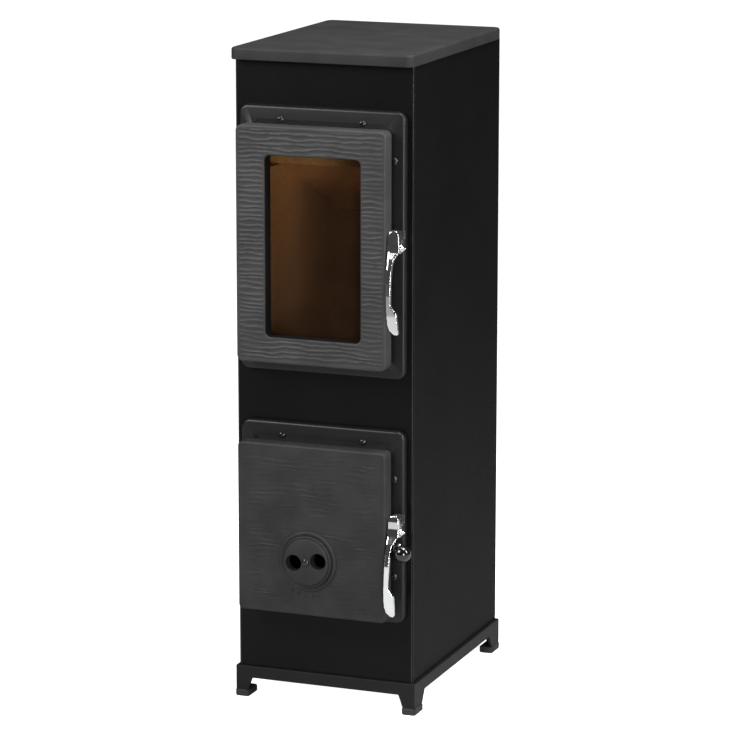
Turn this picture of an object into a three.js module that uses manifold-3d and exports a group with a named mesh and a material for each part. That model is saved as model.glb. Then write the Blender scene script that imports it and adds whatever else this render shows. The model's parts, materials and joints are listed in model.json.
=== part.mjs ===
// A tall, slim steel stove with two cast-iron doors, in millimetres, +Z up, front towards -Y.
// Lengths in front of the casing's front face are called stand: y = casingFront - stand.
import * as THREE from 'three';
import { mergeVertices } from 'three/addons/utils/BufferGeometryUtils.js';
import Module from 'manifold-3d';

const wasm = await Module();
wasm.setup();

// ---- clearances ----
const seatGap = 0.3; // between pieces that rest on or lie against each other
const pinGap = 0.3; // round a pin or a rod, on the radius
const slideGap = 1; // beside a piece that slides or drops in

// ---- casing, base and top ----
const casingWidth = 300;
const casingDepth = 400;
const stoveHeight = 1061;
const sheetThick = 2;
const topThick = 19;
const topSideLap = 3.5;
const topFrontLap = 18;
const topRearLap = 0;
const topCornerRadius = 13;
const topEdgeRound = 3;
const topPocketDepth = 11;
const topRimWidth = 6;
const baseHeight = 52;
const baseLap = 5;
const baseWall = 5;
const baseLedge = 30;
const skirtHeight = 20;
const legTopWidth = 28;
const legFootWidth = 17;
const legSideTop = 48;
const legSideFoot = 30;
const capHeight = 11;
const capFloor = 3;
const capLap = 1.5;
const capEdge = 1.2;
const capCorner = 5;
const floorSheet = 3;
const ventSlotLength = 90;
const ventSlotHeight = 7;
const ventSlotPitch = 16;
const ventSlotRows = 4;
const ventColumnOffset = 62;
const panelHeadRadius = 5;
const panelHeadHeight = 2.5;
const panelHeadInset = 12;
const panelHeadEnd = 50; // outer heads from the panel's two ends
const panelHeadCount = 4;
const lowVentRise = 38; // lower vents above the base frame's top
const highVentDrop = 322; // upper vents below the casing's top

// ---- inner stove body ----
const bodyWall = 4;
const bodySideRoom = 11; // from the casing's side to the body's
const bodyDepth = 333;
const grateLedgeWidth = 27; // short shelves that carry the grate frame
const grateLedgeLength = 40;
const grateLedgeFront = -150;
const grateLedgeRear = 70;
const ledgeThick = 4;
const brickLedgeWidth = 29;
const brickLedgeRise = 10; // above the grate frame
const frontShelfBack = 2;
const frontShelfSetIn = 4;
const grateTop = 278; // upper face of the fixed grate frame
const grateFrameThick = 16;
const brickThick = 30;
const boardThick = 20;
const brickRise = 263; // joint between bricks and boards, above the grate frame
const liningSetback = 21.7; // front edges of the linings behind the body's front
const baffleUnderFlue = 177; // baffle's rear lower edge below the flue's axis
const baffleSlopeRatio = 0.443; // rise per length towards the front
const baffleSetback = 48; // its front edge behind the linings' front edges
const baffleJoint = -44; // joint of its two boards, behind the stove's middle where negative
const baffleThick = 18;
const frontBrickUnder = 10.5; // its foot below the lower door's top
const frontBrickOver = 3; // its top above the upper door's lower edge
const frontBrickThick = 26;
const fenceRise = 67; // above the grate frame
const fenceThick = 8;
const fenceSetback = 4;
const fenceSlotCount = 6;
const fenceSlotWidth = 12;
const fenceBorder = 12;

// ---- rear flue collar ----
const flueDrop = 112; // axis below the casing's top
const flueRadius = 60;
const flueWall = 4;
const flueReach = 60; // stands behind the casing
const flueFlangeRadius = 79;
const flueFlangeThick = 5;
const flueBoltCircle = 69.5;
const flueBoltCount = 4;
const flueBoltRadius = 4;
const flueBoltHead = 5;
const flueBoltHeadRadius = 6.5;
const flueBoltTail = 6; // shank's end inside the body's back wall

// ---- door frames ----
const frameSideMargin = 10.5; // from the casing's sides
const frameThick = 12;
const frameCorner = 15;
const frameEdge = 2.5;
const frameTopMargin = 70; // upper frame's top below the casing's top
const upperFrameHead = 27.6; // frame's top above its door
const upperFrameFoot = 18.5; // frame's foot below its door
const lowerFrameHead = 28.9;
const lowerFrameFoot = 8;
const spigotDepth = 5;
const spigotWall = 4;
const collarWall = 5;
const frameScrewRadius = 6;
const frameScrewHead = 4;
const frameScrewShank = 2.5;
const frameScrewDepth = 6; // shank's end behind the casing's front face
const topScrewOffset = 69;
const topScrewDrop = 21.5;
const sideScrewSetOut = 2.5; // beyond the door's right edge
const sideScrewInset = 77;
const shoulderSetIn = 27.5; // ends of the sloped shoulder inside the frame's sides
const shoulderRise = 6.5; // its upper edge above the door's top
const shoulderLip = 1.5; // its lip below the door's top, behind the door
const shoulderDrop = 4;
const shoulderGap = 0.6;
const airSlotCount = 9;
const airSlotWidth = 8;
const airSlotPitch = 22;
const airSlotFloor = 1;

// ---- doors ----
const doorLeftMargin = 18; // from the casing's left side
const doorRightMargin = 30;
const upperDoorLow = 567;
const lowerDoorLow = 160;
const lowerDoorHigh = 436.5;
const doorRear = 19; // stand of the door's rear face
const doorDepth = 27;
const doorPlate = 8;
const upperDoorCorner = 10;
const lowerDoorCorner = 8;
const doorEdge = 2.5;
const doorRim = 20;
const grooveInset = 10;
const grooveWidth = 9;
const grooveDepth = 9;
const ropeFit = 0.4;
const windowMargins = { left: 49, right: 42, top: 46, foot: 42 };
const windowCorner = 9;
const windowWall = 8;
const glassThick = 4;
const glassCorner = 4;
const glassLap = 12;
const gasketThick = 1.7;
const gasketWidth = 9;
const clipSetOut = 18; // clip screw beside the window's edge
const clipScrewEnd = 43; // clip screws from the window's upper and lower edges
const clipBossRadius = 5;
const clipEnd = 12;
const clipThick = 2.4;
const clipLap = 6;
const clipScrewRadius = 2;
const clipScrewHead = 2.6;
const clipScrewGrip = 5;

// ---- hinges ----
const hingeSetOut = 1; // hinge axis beyond the door's left edge
const hingeStand = 20;
const knuckleRadius = 6;
const knuckleHeight = 14;
const knuckleGap = 0.5;
const hingeInset = 37; // frame knuckle's lower end above the door's lower edge, and the same at the top
const hingePinRadius = 3;
const hingePinHead = 4.5;
const hingeHeadHeight = 2;
const hingeBlockWidth = 10; // ties the door's knuckle to its back
const hingeBlockReach = 8;

// ---- handles and latches ----
const handleSetOut = 12; // lever's middle beyond the door's right edge
const handleStand = 33;
const upperHandleRise = 7.3; // pivot above the door's middle
const handleOverRod = 33.5; // lower pivot above the riddling rod
const lowerHandleLean = 2.5; // degrees that the lower handle hangs to the left
const hubRadius = 9;
const hubReach = 9.5; // hub's outer face beyond the lever's middle
const handlePinRadius = 4;
const handlePinGrip = 14;
const pinCapRadius = 6.5;
const pinCapLength = 7;
const pinTipRadius = 1.5;
const noseWidth = 10;
const noseReach = 16;
const noseThick = 3;
const noseHigh = 11;
const armLow = -4.5;
const armHigh = 2;
const keeperWidth = 17;
const keeperWall = 2.5;
const keeperPlateThick = 2;
const keeperBarRadius = 2.5;
const keeperBarReach = 9.5; // bar's axis behind the handle's axis
const keeperBarRise = 10;
const keeperPlateHigh = 24;

// ---- air disc ----
const discOffset = -6; // from the door's middle
const discHeight = 250;
const discRadius = 42;
const discThick = 6;
const discEdge = 2;
const discBossRadius = 49;
const discBossHeight = 3;
const airHoleRadius = 12.5;
const airHoleOffset = 21;
const rivetRadius = 4;
const rivetHeadRadius = 6;
const rivetHeadHeight = 3;
const rivetHeadTop = 3.6;
const rivetTail = 3;

// ---- riddling gear ----
const rodSetOut = 9; // beyond the door's right edge
const rodDrop = 2.5; // below the grate frame's top
const rodRadius = 4;
const rodTravel = 20;
const rodBendStand = 17;
const rodTail = 8; // behind the link
const knobSetOut = 17.5; // knob to the right of the rod
const knobStand = 38;
const knobRadius = 13.5;
const knobSocket = 3;
const escutcheonRadius = 9;
const escutcheonThick = 3;
const grateSideRoom = 19; // from the body's wall to the grate frame
const grateSetback = 19.7; // behind the body's front
const grateBorder = 20;
const grateFrontBorder = 32;
const grateBackBorder = 10;
const grateShelf = 10;
const grateShelfThick = 3.5;
const movingGrateThick = 10;
const grateSlotCount = 10;
const grateSlotWidth = 9;
const grateSlotEnd = 14;
const grateBridge = 12; // bar across the middle of the slots
const linkY = 26;
const linkWidth = 12;
const linkThick = 8;
const linkRise = 1;
const linkPlay = 2;
const linkEyeWall = 3;
const linkEyeOver = 2; // eye above the rod

// ---- ash pan ----
const panSideRoom = 28; // pan's sides inside the door's edges
const panSetback = 13.7; // behind the body's front
const panRearRoom = 34.3; // from its back to the body's back
const panHeight = 74;
const panWall = 2;
const panHandleSpan = 70;
const panHandleReach = 16;
const panHandleRadius = 3;
const panHandleDrop = 22; // below the pan's rim
const panHandleStub = 4;
const panHandleCorner = 7;

// ---- places worked out from the sizes ----
const casingFront = -casingDepth / 2;
const casingBack = casingDepth / 2;
const casingHalf = casingWidth / 2;
const casingTop = stoveHeight - topThick;
const casingLow = baseHeight + seatGap;
const bodyHalf = casingHalf - bodySideRoom;
const bodyInner = bodyHalf - bodyWall;
const bodyFront = casingFront + sheetThick + seatGap;
const bodyBack = bodyFront + bodyDepth;
const liningBack = bodyBack - bodyWall - seatGap;
const bodyLow = baseHeight + seatGap + floorSheet + seatGap;
const bodyTop = casingTop - seatGap;
const doorLeft = -casingHalf + doorLeftMargin;
const doorRight = casingHalf - doorRightMargin;
const doorMiddle = (doorLeft + doorRight) / 2;
const hingeX = doorLeft - hingeSetOut;
const handleX = doorRight + handleSetOut;
const hubRight = handleX + hubReach;
const rodX = doorRight + rodSetOut;
const knobX = rodX + knobSetOut;
const sideScrewX = doorRight + sideScrewSetOut;
const discX = doorMiddle + discOffset;
const frameHalfWidth = casingHalf - frameSideMargin;
const shoulderHalfWidth = frameHalfWidth - shoulderSetIn;
const upperFrameHigh = casingTop - frameTopMargin;
const upperDoorHigh = upperFrameHigh - upperFrameHead;
const upperHandleHeight = (upperDoorLow + upperDoorHigh) / 2 + upperHandleRise;
const rodHeight = grateTop - rodDrop;
const lowerHandleHeight = rodHeight + handleOverRod;
const lowVentHeight = baseHeight + lowVentRise;
const highVentHeight = casingTop - highVentDrop;
const flueHeight = casingTop - flueDrop;
const baffleRearHeight = flueHeight - baffleUnderFlue;
const brickTop = grateTop + brickRise;
const fenceTop = grateTop + fenceRise;
const frontBrickLow = lowerDoorHigh - frontBrickUnder;
const frontBrickTop = upperDoorLow + frontBrickOver;
const liningFront = -bodyFront - liningSetback;
const baffleFront = liningFront - baffleSetback;
const grateFront = -bodyFront - grateSetback;
const grateHalfWidth = bodyInner - grateSideRoom;
const panWidth = doorRight - doorLeft - 2 * panSideRoom;
const panFront = -bodyFront - panSetback;
const doorFace = doorRear + doorDepth;
const collarInset = grooveInset + (grooveWidth - collarWall) / 2;
const collarStand = doorRear + seatGap / 2;
const doorwayInset = collarInset + collarWall;
const openingInset = doorwayInset - spigotWall - slideGap;
const ashFloorTop = lowerDoorLow + doorwayInset;
const grateBottom = grateTop - grateFrameThick;
const liningHalf = bodyInner - seatGap;
const fireHalf = liningHalf - brickThick;

const frames = {
  upper: {
    low: upperDoorLow - upperFrameFoot,
    high: upperFrameHigh,
    door: { left: doorLeft, right: doorRight, low: upperDoorLow, high: upperDoorHigh },
    corner: upperDoorCorner,
  },
  lower: {
    low: lowerDoorLow - lowerFrameFoot,
    high: lowerDoorHigh + lowerFrameHead,
    door: { left: doorLeft, right: doorRight, low: lowerDoorLow, high: lowerDoorHigh },
    corner: lowerDoorCorner,
  },
};

const windowEdges = {
  left: doorLeft + windowMargins.left,
  right: doorRight - windowMargins.right,
  low: upperDoorLow + windowMargins.foot,
  high: upperDoorHigh - windowMargins.top,
};

const y = (stand) => casingFront - stand;

// ---- solids ----
function toSolid(geometry) {
  const bare = geometry.index ? geometry.toNonIndexed() : geometry.clone();
  bare.deleteAttribute('normal');
  bare.deleteAttribute('uv');
  const merged = mergeVertices(bare, 1e-4);
  const mesh = new wasm.Mesh({
    numProp: 3,
    vertProperties: Float32Array.from(merged.attributes.position.array),
    triVerts: Uint32Array.from(merged.index.array),
  });
  return new wasm.Manifold(mesh);
}

function toGeometry(solid) {
  const mesh = solid.getMesh();
  const geometry = new THREE.BufferGeometry();
  geometry.setAttribute('position', new THREE.BufferAttribute(mesh.vertProperties, 3));
  geometry.setIndex(new THREE.BufferAttribute(mesh.triVerts, 1));
  geometry.computeVertexNormals();
  return geometry;
}

const join = (solids) => solids.reduce((whole, next) => whole.add(next));
const cut = (solid, tools) => tools.reduce((left, tool) => left.subtract(tool), solid);

function block(x0, x1, y0, y1, z0, z1) {
  const geometry = new THREE.BoxGeometry(x1 - x0, y1 - y0, z1 - z0);
  geometry.translate((x0 + x1) / 2, (y0 + y1) / 2, (z0 + z1) / 2);
  return toSolid(geometry);
}

// A round bar along one axis, from one coordinate to the other on it.
function bar(axis, from, to, radius, across, sides = 20, endRadius = radius) {
  const geometry = new THREE.CylinderGeometry(endRadius, radius, to - from, sides);
  geometry.translate(0, (from + to) / 2, 0);
  if (axis === 'x') geometry.rotateZ(-Math.PI / 2).translate(0, across[0], across[1]);
  if (axis === 'y') geometry.translate(across[0], 0, across[1]);
  if (axis === 'z') geometry.rotateX(Math.PI / 2).translate(across[0], across[1], 0);
  return toSolid(geometry);
}

function roundedRect(x0, x1, z0, z1, radius) {
  const r = Math.min(radius, (x1 - x0) / 2 - 0.1, (z1 - z0) / 2 - 0.1);
  const shape = new THREE.Shape();
  shape.absarc(x1 - r, z0 + r, r, -Math.PI / 2, 0);
  shape.absarc(x1 - r, z1 - r, r, 0, Math.PI / 2);
  shape.absarc(x0 + r, z1 - r, r, Math.PI / 2, Math.PI);
  shape.absarc(x0 + r, z0 + r, r, Math.PI, Math.PI * 1.5);
  shape.closePath();
  return shape;
}

function polygon(points) {
  return new THREE.Shape(points.map(([a, b]) => new THREE.Vector2(a, b)));
}

function extrude(shape, depth, edge, arcSteps, edgeSteps = 1) {
  const round = Math.min(edge, depth / 2 - 0.1);
  const settings = { depth, bevelEnabled: false, curveSegments: arcSteps };
  if (round > 0) {
    settings.bevelEnabled = true;
    settings.depth = depth - 2 * round;
    settings.bevelThickness = round;
    settings.bevelSize = round;
    settings.bevelOffset = -round;
    settings.bevelSegments = edgeSteps;
  }
  const geometry = new THREE.ExtrudeGeometry(shape, settings);
  if (round > 0) geometry.translate(0, 0, round);
  return geometry;
}

// Upright slabs drawn in X and Z, between two y values; flat ones in X and Y; side ones in Y and Z.
function uprightSlab(shape, yFront, yBack, edge = 0, arcSteps = 2, edgeSteps = 1) {
  const geometry = extrude(shape, yBack - yFront, edge, arcSteps, edgeSteps);
  return toSolid(geometry.rotateX(Math.PI / 2).translate(0, yBack, 0));
}

function flatSlab(shape, z0, z1, edge = 0, arcSteps = 2, edgeSteps = 1) {
  return toSolid(extrude(shape, z1 - z0, edge, arcSteps, edgeSteps).translate(0, 0, z0));
}

function sideSlab(shape, x0, x1, edge = 0, arcSteps = 2) {
  const turn = new THREE.Matrix4().makeBasis(
    new THREE.Vector3(0, 1, 0),
    new THREE.Vector3(0, 0, 1),
    new THREE.Vector3(1, 0, 0),
  );
  const geometry = extrude(shape, x1 - x0, edge, arcSteps).applyMatrix4(turn);
  return toSolid(geometry.translate(x0, 0, 0));
}

function tube(points, radius, steps, sides) {
  const section = new THREE.Shape();
  section.absarc(0, 0, radius, 0, Math.PI * 2);
  const path = new THREE.CatmullRomCurve3(points.map((p) => new THREE.Vector3(...p)));
  const settings = { steps, curveSegments: sides / 2, bevelEnabled: false, extrudePath: path };
  return toSolid(new THREE.ExtrudeGeometry(section, settings));
}

// ---- finishes ----
const finish = (color, roughness, metalness) => () =>
  new THREE.MeshStandardMaterial({ color, roughness, metalness });
const castIron = finish(0x3d3d3e, 0.7, 0.4);
const casingEnamel = finish(0x19191a, 0.35, 0.1);
const steelSheet = finish(0x2b2a2a, 0.6, 0.5);
const chrome = finish(0xd8dadc, 0.12, 1);
const blackScrew = finish(0x111112, 0.4, 0.6);
const fireBoard = finish(0xa8794a, 0.95, 0);
const ceramicGlass = finish(0x2a1b10, 0.05, 0);
const sealRope = finish(0x3a3a38, 1, 0);
const capRubber = finish(0x2c2c2d, 0.8, 0);
const knobPlastic = finish(0x0c0c0d, 0.15, 0);
const brightSteel = finish(0x8b8b8c, 0.35, 0.9);

const stove = new THREE.Group();

function place(name, solid, material) {
  const mesh = new THREE.Mesh(toGeometry(solid), material());
  mesh.name = name;
  stove.add(mesh);
  return mesh;
}

// ---- casing and base ----
function opening(edges, inset, radius, yFront, yBack) {
  const shape = roundedRect(
    edges.left + inset,
    edges.right - inset,
    edges.low + inset,
    edges.high - inset,
    radius,
  );
  return uprightSlab(shape, yFront, yBack);
}

function frameScrewSpots(frame) {
  const top = frame.high - topScrewDrop;
  return [
    [-topScrewOffset, top],
    [topScrewOffset, top],
    [sideScrewX, frame.high - sideScrewInset],
    [sideScrewX, frame.low + sideScrewInset],
  ];
}

// Everything that goes through a front wall: doorways, screw shanks and the riddling rod.
function frontCuts(yFront, yBack) {
  const cuts = [];
  for (const frame of Object.values(frames)) {
    const { left, right, low, high } = frame.door;
    const across = [left + openingInset, right - openingInset];
    cuts.push(block(...across, yFront, yBack, low + openingInset, high - openingInset));
    for (const spot of frameScrewSpots(frame)) {
      cuts.push(bar('y', yFront, yBack, frameScrewShank + pinGap, spot, 8));
    }
  }
  cuts.push(bar('y', yFront, yBack, rodRadius + slideGap, [rodX, rodHeight], 16));
  return cuts;
}

function frontPanel() {
  const edge = casingHalf - sheetThick - seatGap;
  const sheet = block(-edge, edge, casingFront, casingFront + sheetThick, casingLow, casingTop);
  return cut(sheet, frontCuts(casingFront - 1, casingFront + sheetThick + 1));
}

function sidePanel(side) {
  const outer = side * casingHalf;
  const inner = side * (casingHalf - sheetThick);
  const back = casingBack - sheetThick - seatGap;
  return block(Math.min(outer, inner), Math.max(outer, inner), casingFront, back, casingLow, casingTop);
}

function rearPanel() {
  const from = casingBack - sheetThick;
  const sheet = block(-casingHalf, casingHalf, from, casingBack, casingLow, casingTop);
  const tools = [bar('y', from - 1, casingBack + 1, flueRadius + slideGap, [0, flueHeight], 24)];
  for (const low of [lowVentHeight, highVentHeight]) {
    for (const side of [-1, 1]) {
      for (let row = 0; row < ventSlotRows; row += 1) {
        const x = side * ventColumnOffset;
        const z = low + row * ventSlotPitch;
        const half = ventSlotLength / 2;
        tools.push(block(x - half, x + half, from - 1, casingBack + 1, z, z + ventSlotHeight));
      }
    }
  }
  const heads = panelScrewSpots().map((spot) =>
    bar('y', casingBack - sheetThick / 2, casingBack + panelHeadHeight, panelHeadRadius, spot, 8),
  );
  return join([cut(sheet, tools), ...heads]);
}

function topPlate() {
  const half = casingHalf + topSideLap;
  const front = casingFront - topFrontLap;
  const back = casingBack + topRearLap;
  const outline = roundedRect(-half, half, front, back, topCornerRadius);
  const plate = flatSlab(outline, casingTop, stoveHeight, topEdgeRound, 3, 2);
  const rim = casingHalf - topRimWidth;
  const pocket = block(
    -rim,
    rim,
    casingFront + topRimWidth,
    casingBack - topRimWidth,
    casingTop - 1,
    casingTop + topPocketDepth,
  );
  return plate.subtract(pocket);
}

// Legs are the corners of the base's walls, left standing between the arches.
function baseFrame() {
  const half = casingHalf + baseLap;
  const deep = casingDepth / 2 + baseLap;
  const low = capFloor + seatGap;
  const archTop = baseHeight - skirtHeight;
  const box = block(-half, half, -deep, deep, low, baseHeight);
  const coreHalf = half - baseWall;
  const coreDeep = deep - baseWall;
  const core = block(-coreHalf, coreHalf, -coreDeep, coreDeep, 0, baseHeight - floorSheet);
  const holeHalf = half - baseLedge;
  const holeDeep = deep - baseLedge;
  const hole = block(-holeHalf, holeHalf, -holeDeep, holeDeep, 0, baseHeight + 1);
  const arch = (span, topWidth, footWidth) =>
    polygon([
      [-span + footWidth, 0],
      [span - footWidth, 0],
      [span - topWidth, archTop],
      [-span + topWidth, archTop],
    ]);
  const frontArch = uprightSlab(arch(half, legTopWidth, legFootWidth), -deep - 1, deep + 1);
  const sideArch = sideSlab(arch(deep, legSideTop, legSideFoot), -half - 1, half + 1);
  return cut(box, [core, hole, frontArch, sideArch]);
}

// A foot cap fills the corner inside a leg and wraps round its outer faces.
function footCap(sideX, sideY) {
  const half = casingHalf + baseLap;
  const deep = casingDepth / 2 + baseLap;
  const growth = (legTopWidth - legFootWidth) * (capHeight / (baseHeight - skirtHeight));
  const wide = legFootWidth + growth + seatGap + capLap;
  const sideGrowth = (legSideTop - legSideFoot) * (capHeight / (baseHeight - skirtHeight));
  const long = legSideFoot + sideGrowth + seatGap + capLap;
  const outline = roundedRect(half - wide, half + capLap, deep - long, deep + capLap, capCorner);
  const body = flatSlab(outline, 0, capHeight, capEdge);
  const outerX = half + seatGap;
  const outerY = deep + seatGap;
  const wall = baseWall + 2 * seatGap;
  const heights = [capFloor, capHeight + 1];
  const frontWall = block(half - wide + capLap, outerX, outerY - wall, outerY, ...heights);
  const sideWall = block(outerX - wall, outerX, deep - long + capLap, outerY, ...heights);
  return cut(body, [frontWall, sideWall]).scale([sideX, sideY, 1]);
}

function basePlate() {
  const half = casingHalf - sheetThick - seatGap;
  const deep = casingDepth / 2 - sheetThick - seatGap;
  const low = baseHeight + seatGap;
  return block(-half, half, -deep, deep, low, low + floorSheet);
}

// The screw heads along the rear panel's two long edges.
function panelScrewSpots() {
  const x = casingHalf - panelHeadInset;
  const pitch = (casingTop - casingLow - 2 * panelHeadEnd) / (panelHeadCount - 1);
  const spots = [];
  for (let i = 0; i < panelHeadCount; i += 1) {
    const z = casingLow + panelHeadEnd + pitch * i;
    spots.push([-x, z], [x, z]);
  }
  return spots;
}

// ---- inner body and flue collar ----
function fireboxBody() {
  const outer = block(-bodyHalf, bodyHalf, bodyFront, bodyBack, bodyLow, bodyTop);
  const front = bodyFront + bodyWall;
  const back = bodyBack - bodyWall;
  const room = block(-bodyInner, bodyInner, front, back, ashFloorTop, bodyTop - bodyWall);
  const under = block(-bodyInner, bodyInner, front, back, bodyLow - 1, ashFloorTop - bodyWall);
  const flue = bar('y', back - 1, bodyBack + 1, flueRadius - flueWall, [0, flueHeight], 24);
  const bolts = flueBoltSpots().map((spot) =>
    bar('y', back - 1, bodyBack + 1, flueBoltRadius + pinGap, spot, 8),
  );
  const shell = cut(outer, [room, under, flue, ...bolts, ...frontCuts(bodyFront - 1, front + 1)]);
  const ledges = [];
  const ledgeTop = grateBottom - seatGap;
  const brickLedgeTop = grateTop + brickLedgeRise;
  for (const side of [-1, 1]) {
    const rows = [
      [grateLedgeWidth, ledgeTop, grateLedgeFront, grateLedgeFront + grateLedgeLength],
      [grateLedgeWidth, ledgeTop, grateLedgeRear, grateLedgeRear + grateLedgeLength],
      [brickLedgeWidth, brickLedgeTop, -liningFront, liningBack - 1],
    ];
    for (const [width, high, from, to] of rows) {
      const inner = side * (bodyInner - width);
      const wall = side * (bodyInner + 1);
      const across = [Math.min(inner, wall), Math.max(inner, wall)];
      ledges.push(block(...across, from, to, high - ledgeThick, high));
    }
  }
  const shelfTop = frontBrickLow - seatGap;
  const shelfHalf = fireHalf - frontShelfSetIn;
  const shelfBack = front + frontBrickThick + frontShelfBack;
  ledges.push(block(-shelfHalf, shelfHalf, front - 1, shelfBack, shelfTop - ledgeThick, shelfTop));
  return join([shell, ...ledges]);
}

function flueBoltSpots() {
  const spots = [];
  for (let i = 0; i < flueBoltCount; i += 1) {
    const angle = (Math.PI * 2 * (i + 0.5)) / flueBoltCount;
    spots.push([flueBoltCircle * Math.cos(angle), flueHeight + flueBoltCircle * Math.sin(angle)]);
  }
  return spots;
}

function flueCollar() {
  const from = bodyBack + seatGap;
  const middle = [0, flueHeight];
  const flange = bar('y', from, from + flueFlangeThick, flueFlangeRadius, middle, 24);
  const pipe = bar('y', from, casingBack + flueReach, flueRadius, middle, 24);
  const bore = bar('y', from - 1, casingBack + flueReach + 1, flueRadius - flueWall, middle, 24);
  const bolts = flueBoltSpots().flatMap((spot) => [
    bar('y', from + 1, from + flueFlangeThick + flueBoltHead, flueBoltHeadRadius, spot, 6),
    bar('y', bodyBack - bodyWall - flueBoltTail, from + 1, flueBoltRadius, spot, 8),
  ]);
  return join([flange, pipe, ...bolts]).subtract(bore);
}

// ---- linings and baffle ----
const baffleUnder = (yAt) => baffleRearHeight + (liningBack - yAt) * baffleSlopeRatio;

function sideBrick(side) {
  const inner = side * fireHalf;
  const outer = side * liningHalf;
  const low = grateTop + brickLedgeRise + seatGap;
  const across = [Math.min(inner, outer), Math.max(inner, outer)];
  return block(...across, -liningFront, liningBack, low, brickTop - seatGap);
}

// The boards' upper edges slope with the baffle that they carry.
function sideBoard(side) {
  const top = (yAt) => baffleUnder(yAt) - seatGap;
  const outline = polygon([
    [-liningFront, brickTop],
    [liningBack, brickTop],
    [liningBack, top(liningBack)],
    [-baffleFront, top(-baffleFront)],
    [-liningFront, top(-baffleFront)],
  ]);
  const inner = side * fireHalf;
  const outer = side * liningHalf;
  return sideSlab(outline, Math.min(inner, outer), Math.max(inner, outer));
}

function backLining(thick, low, high) {
  const half = fireHalf - seatGap;
  return block(-half, half, liningBack - thick, liningBack, low, high);
}

function frontBrick() {
  const half = fireHalf - seatGap;
  const from = bodyFront + bodyWall + seatGap;
  return block(-half, half, from, from + frontBrickThick, frontBrickLow, frontBrickTop);
}

function baffle(yFrom, yTo) {
  const lift = baffleThick * Math.hypot(1, baffleSlopeRatio);
  const outline = polygon([
    [yFrom, baffleUnder(yFrom)],
    [yTo, baffleUnder(yTo)],
    [yTo, baffleUnder(yTo) + lift],
    [yFrom, baffleUnder(yFrom) + lift],
  ]);
  return sideSlab(outline, -liningHalf, liningHalf);
}

// ---- grate and riddling gear ----
const grateBack = liningBack;
const openFront = -grateFront + grateFrontBorder;
const openBack = grateBack - grateBackBorder;
const openHalf = grateHalfWidth - grateBorder;
const shelfHigh = grateBottom + grateShelfThick;

function grateFrame() {
  const outer = block(-grateHalfWidth, grateHalfWidth, -grateFront, grateBack, grateBottom, grateTop);
  const tray = block(-openHalf, openHalf, openFront, openBack, shelfHigh, grateTop + 1);
  const through = block(
    -openHalf + grateShelf,
    openHalf - grateShelf,
    openFront + grateShelf,
    openBack - grateShelf,
    grateBottom - 1,
    shelfHigh + 1,
  );
  const linkSlot = block(
    openHalf - 1,
    grateHalfWidth + 1,
    linkY - linkWidth / 2 - rodTravel - linkPlay,
    linkY + linkWidth / 2 + linkPlay,
    shelfHigh,
    grateTop + 1,
  );
  return cut(outer, [tray, through, linkSlot]);
}

function riddlingGrate() {
  const half = openHalf - slideGap;
  const front = openFront + rodTravel + slideGap;
  const back = openBack - slideGap;
  const low = shelfHigh + seatGap;
  const high = low + movingGrateThick;
  const plate = block(-half, half, front, back, low, high);
  const pitch = (2 * half) / grateSlotCount;
  const slots = [];
  const middle = (front + back) / 2;
  for (let i = 0; i < grateSlotCount; i += 1) {
    const x = -half + pitch * (i + 0.5);
    const edge = grateSlotWidth / 2;
    const nearBridge = middle - grateBridge / 2;
    slots.push(block(x - edge, x + edge, front + grateSlotEnd, nearBridge, low - 1, high + 1));
    const pastBridge = middle + grateBridge / 2;
    slots.push(block(x - edge, x + edge, pastBridge, back - grateSlotEnd, low - 1, high + 1));
  }
  const from = linkY - linkWidth / 2;
  const to = linkY + linkWidth / 2;
  const linkLow = low + linkRise;
  const link = block(half - 1, rodX + 1, from, to, linkLow, linkLow + linkThick);
  const eyeInner = rodX - rodRadius - linkEyeWall;
  const eyeTop = rodHeight + rodRadius + linkEyeOver;
  const eye = block(eyeInner, bodyInner - slideGap, from, to, linkLow, eyeTop);
  const hole = bar('y', from - 1, to + 1, rodRadius + pinGap, [rodX, rodHeight], 16);
  return cut(join([cut(plate, slots), link, eye]), [hole]);
}

// The rod's outer end leans to the right, straight at the knob's middle.
const rodLean = Math.atan2(knobX - rodX, knobStand - rodBendStand);

function alongLean(fromKnob) {
  const right = knobX - fromKnob * Math.sin(rodLean);
  return [right, y(knobStand - fromKnob * Math.cos(rodLean)), rodHeight];
}

function riddlingRod() {
  const end = linkY + linkWidth / 2 + rodTail;
  const bendY = y(rodBendStand);
  const straight = bar('y', bendY, end, rodRadius, [rodX, rodHeight], 10);
  const elbow = new THREE.SphereGeometry(rodRadius, 10, 8);
  elbow.translate(rodX, bendY, rodHeight);
  const lean = tube([[rodX, bendY, rodHeight], alongLean(knobRadius - knobSocket)], rodRadius, 1, 10);
  return join([straight, toSolid(elbow), lean]);
}

function riddlingKnob() {
  const ball = new THREE.SphereGeometry(knobRadius, 16, 10);
  ball.rotateX(Math.PI / 2).translate(knobX, y(knobStand), rodHeight);
  const socketEnd = alongLean(knobRadius - knobSocket - seatGap);
  const socket = tube([alongLean(knobRadius + 1), socketEnd], rodRadius + pinGap, 1, 12);
  return toSolid(ball).subtract(socket);
}

function rodEscutcheon() {
  const from = y(frameThick + seatGap + escutcheonThick);
  const ring = bar('y', from, from + escutcheonThick, escutcheonRadius, [rodX, rodHeight], 20);
  const bore = [from - 1, from + escutcheonThick + 1, rodRadius + pinGap];
  return ring.subtract(bar('y', ...bore, [rodX, rodHeight], 16));
}

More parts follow.
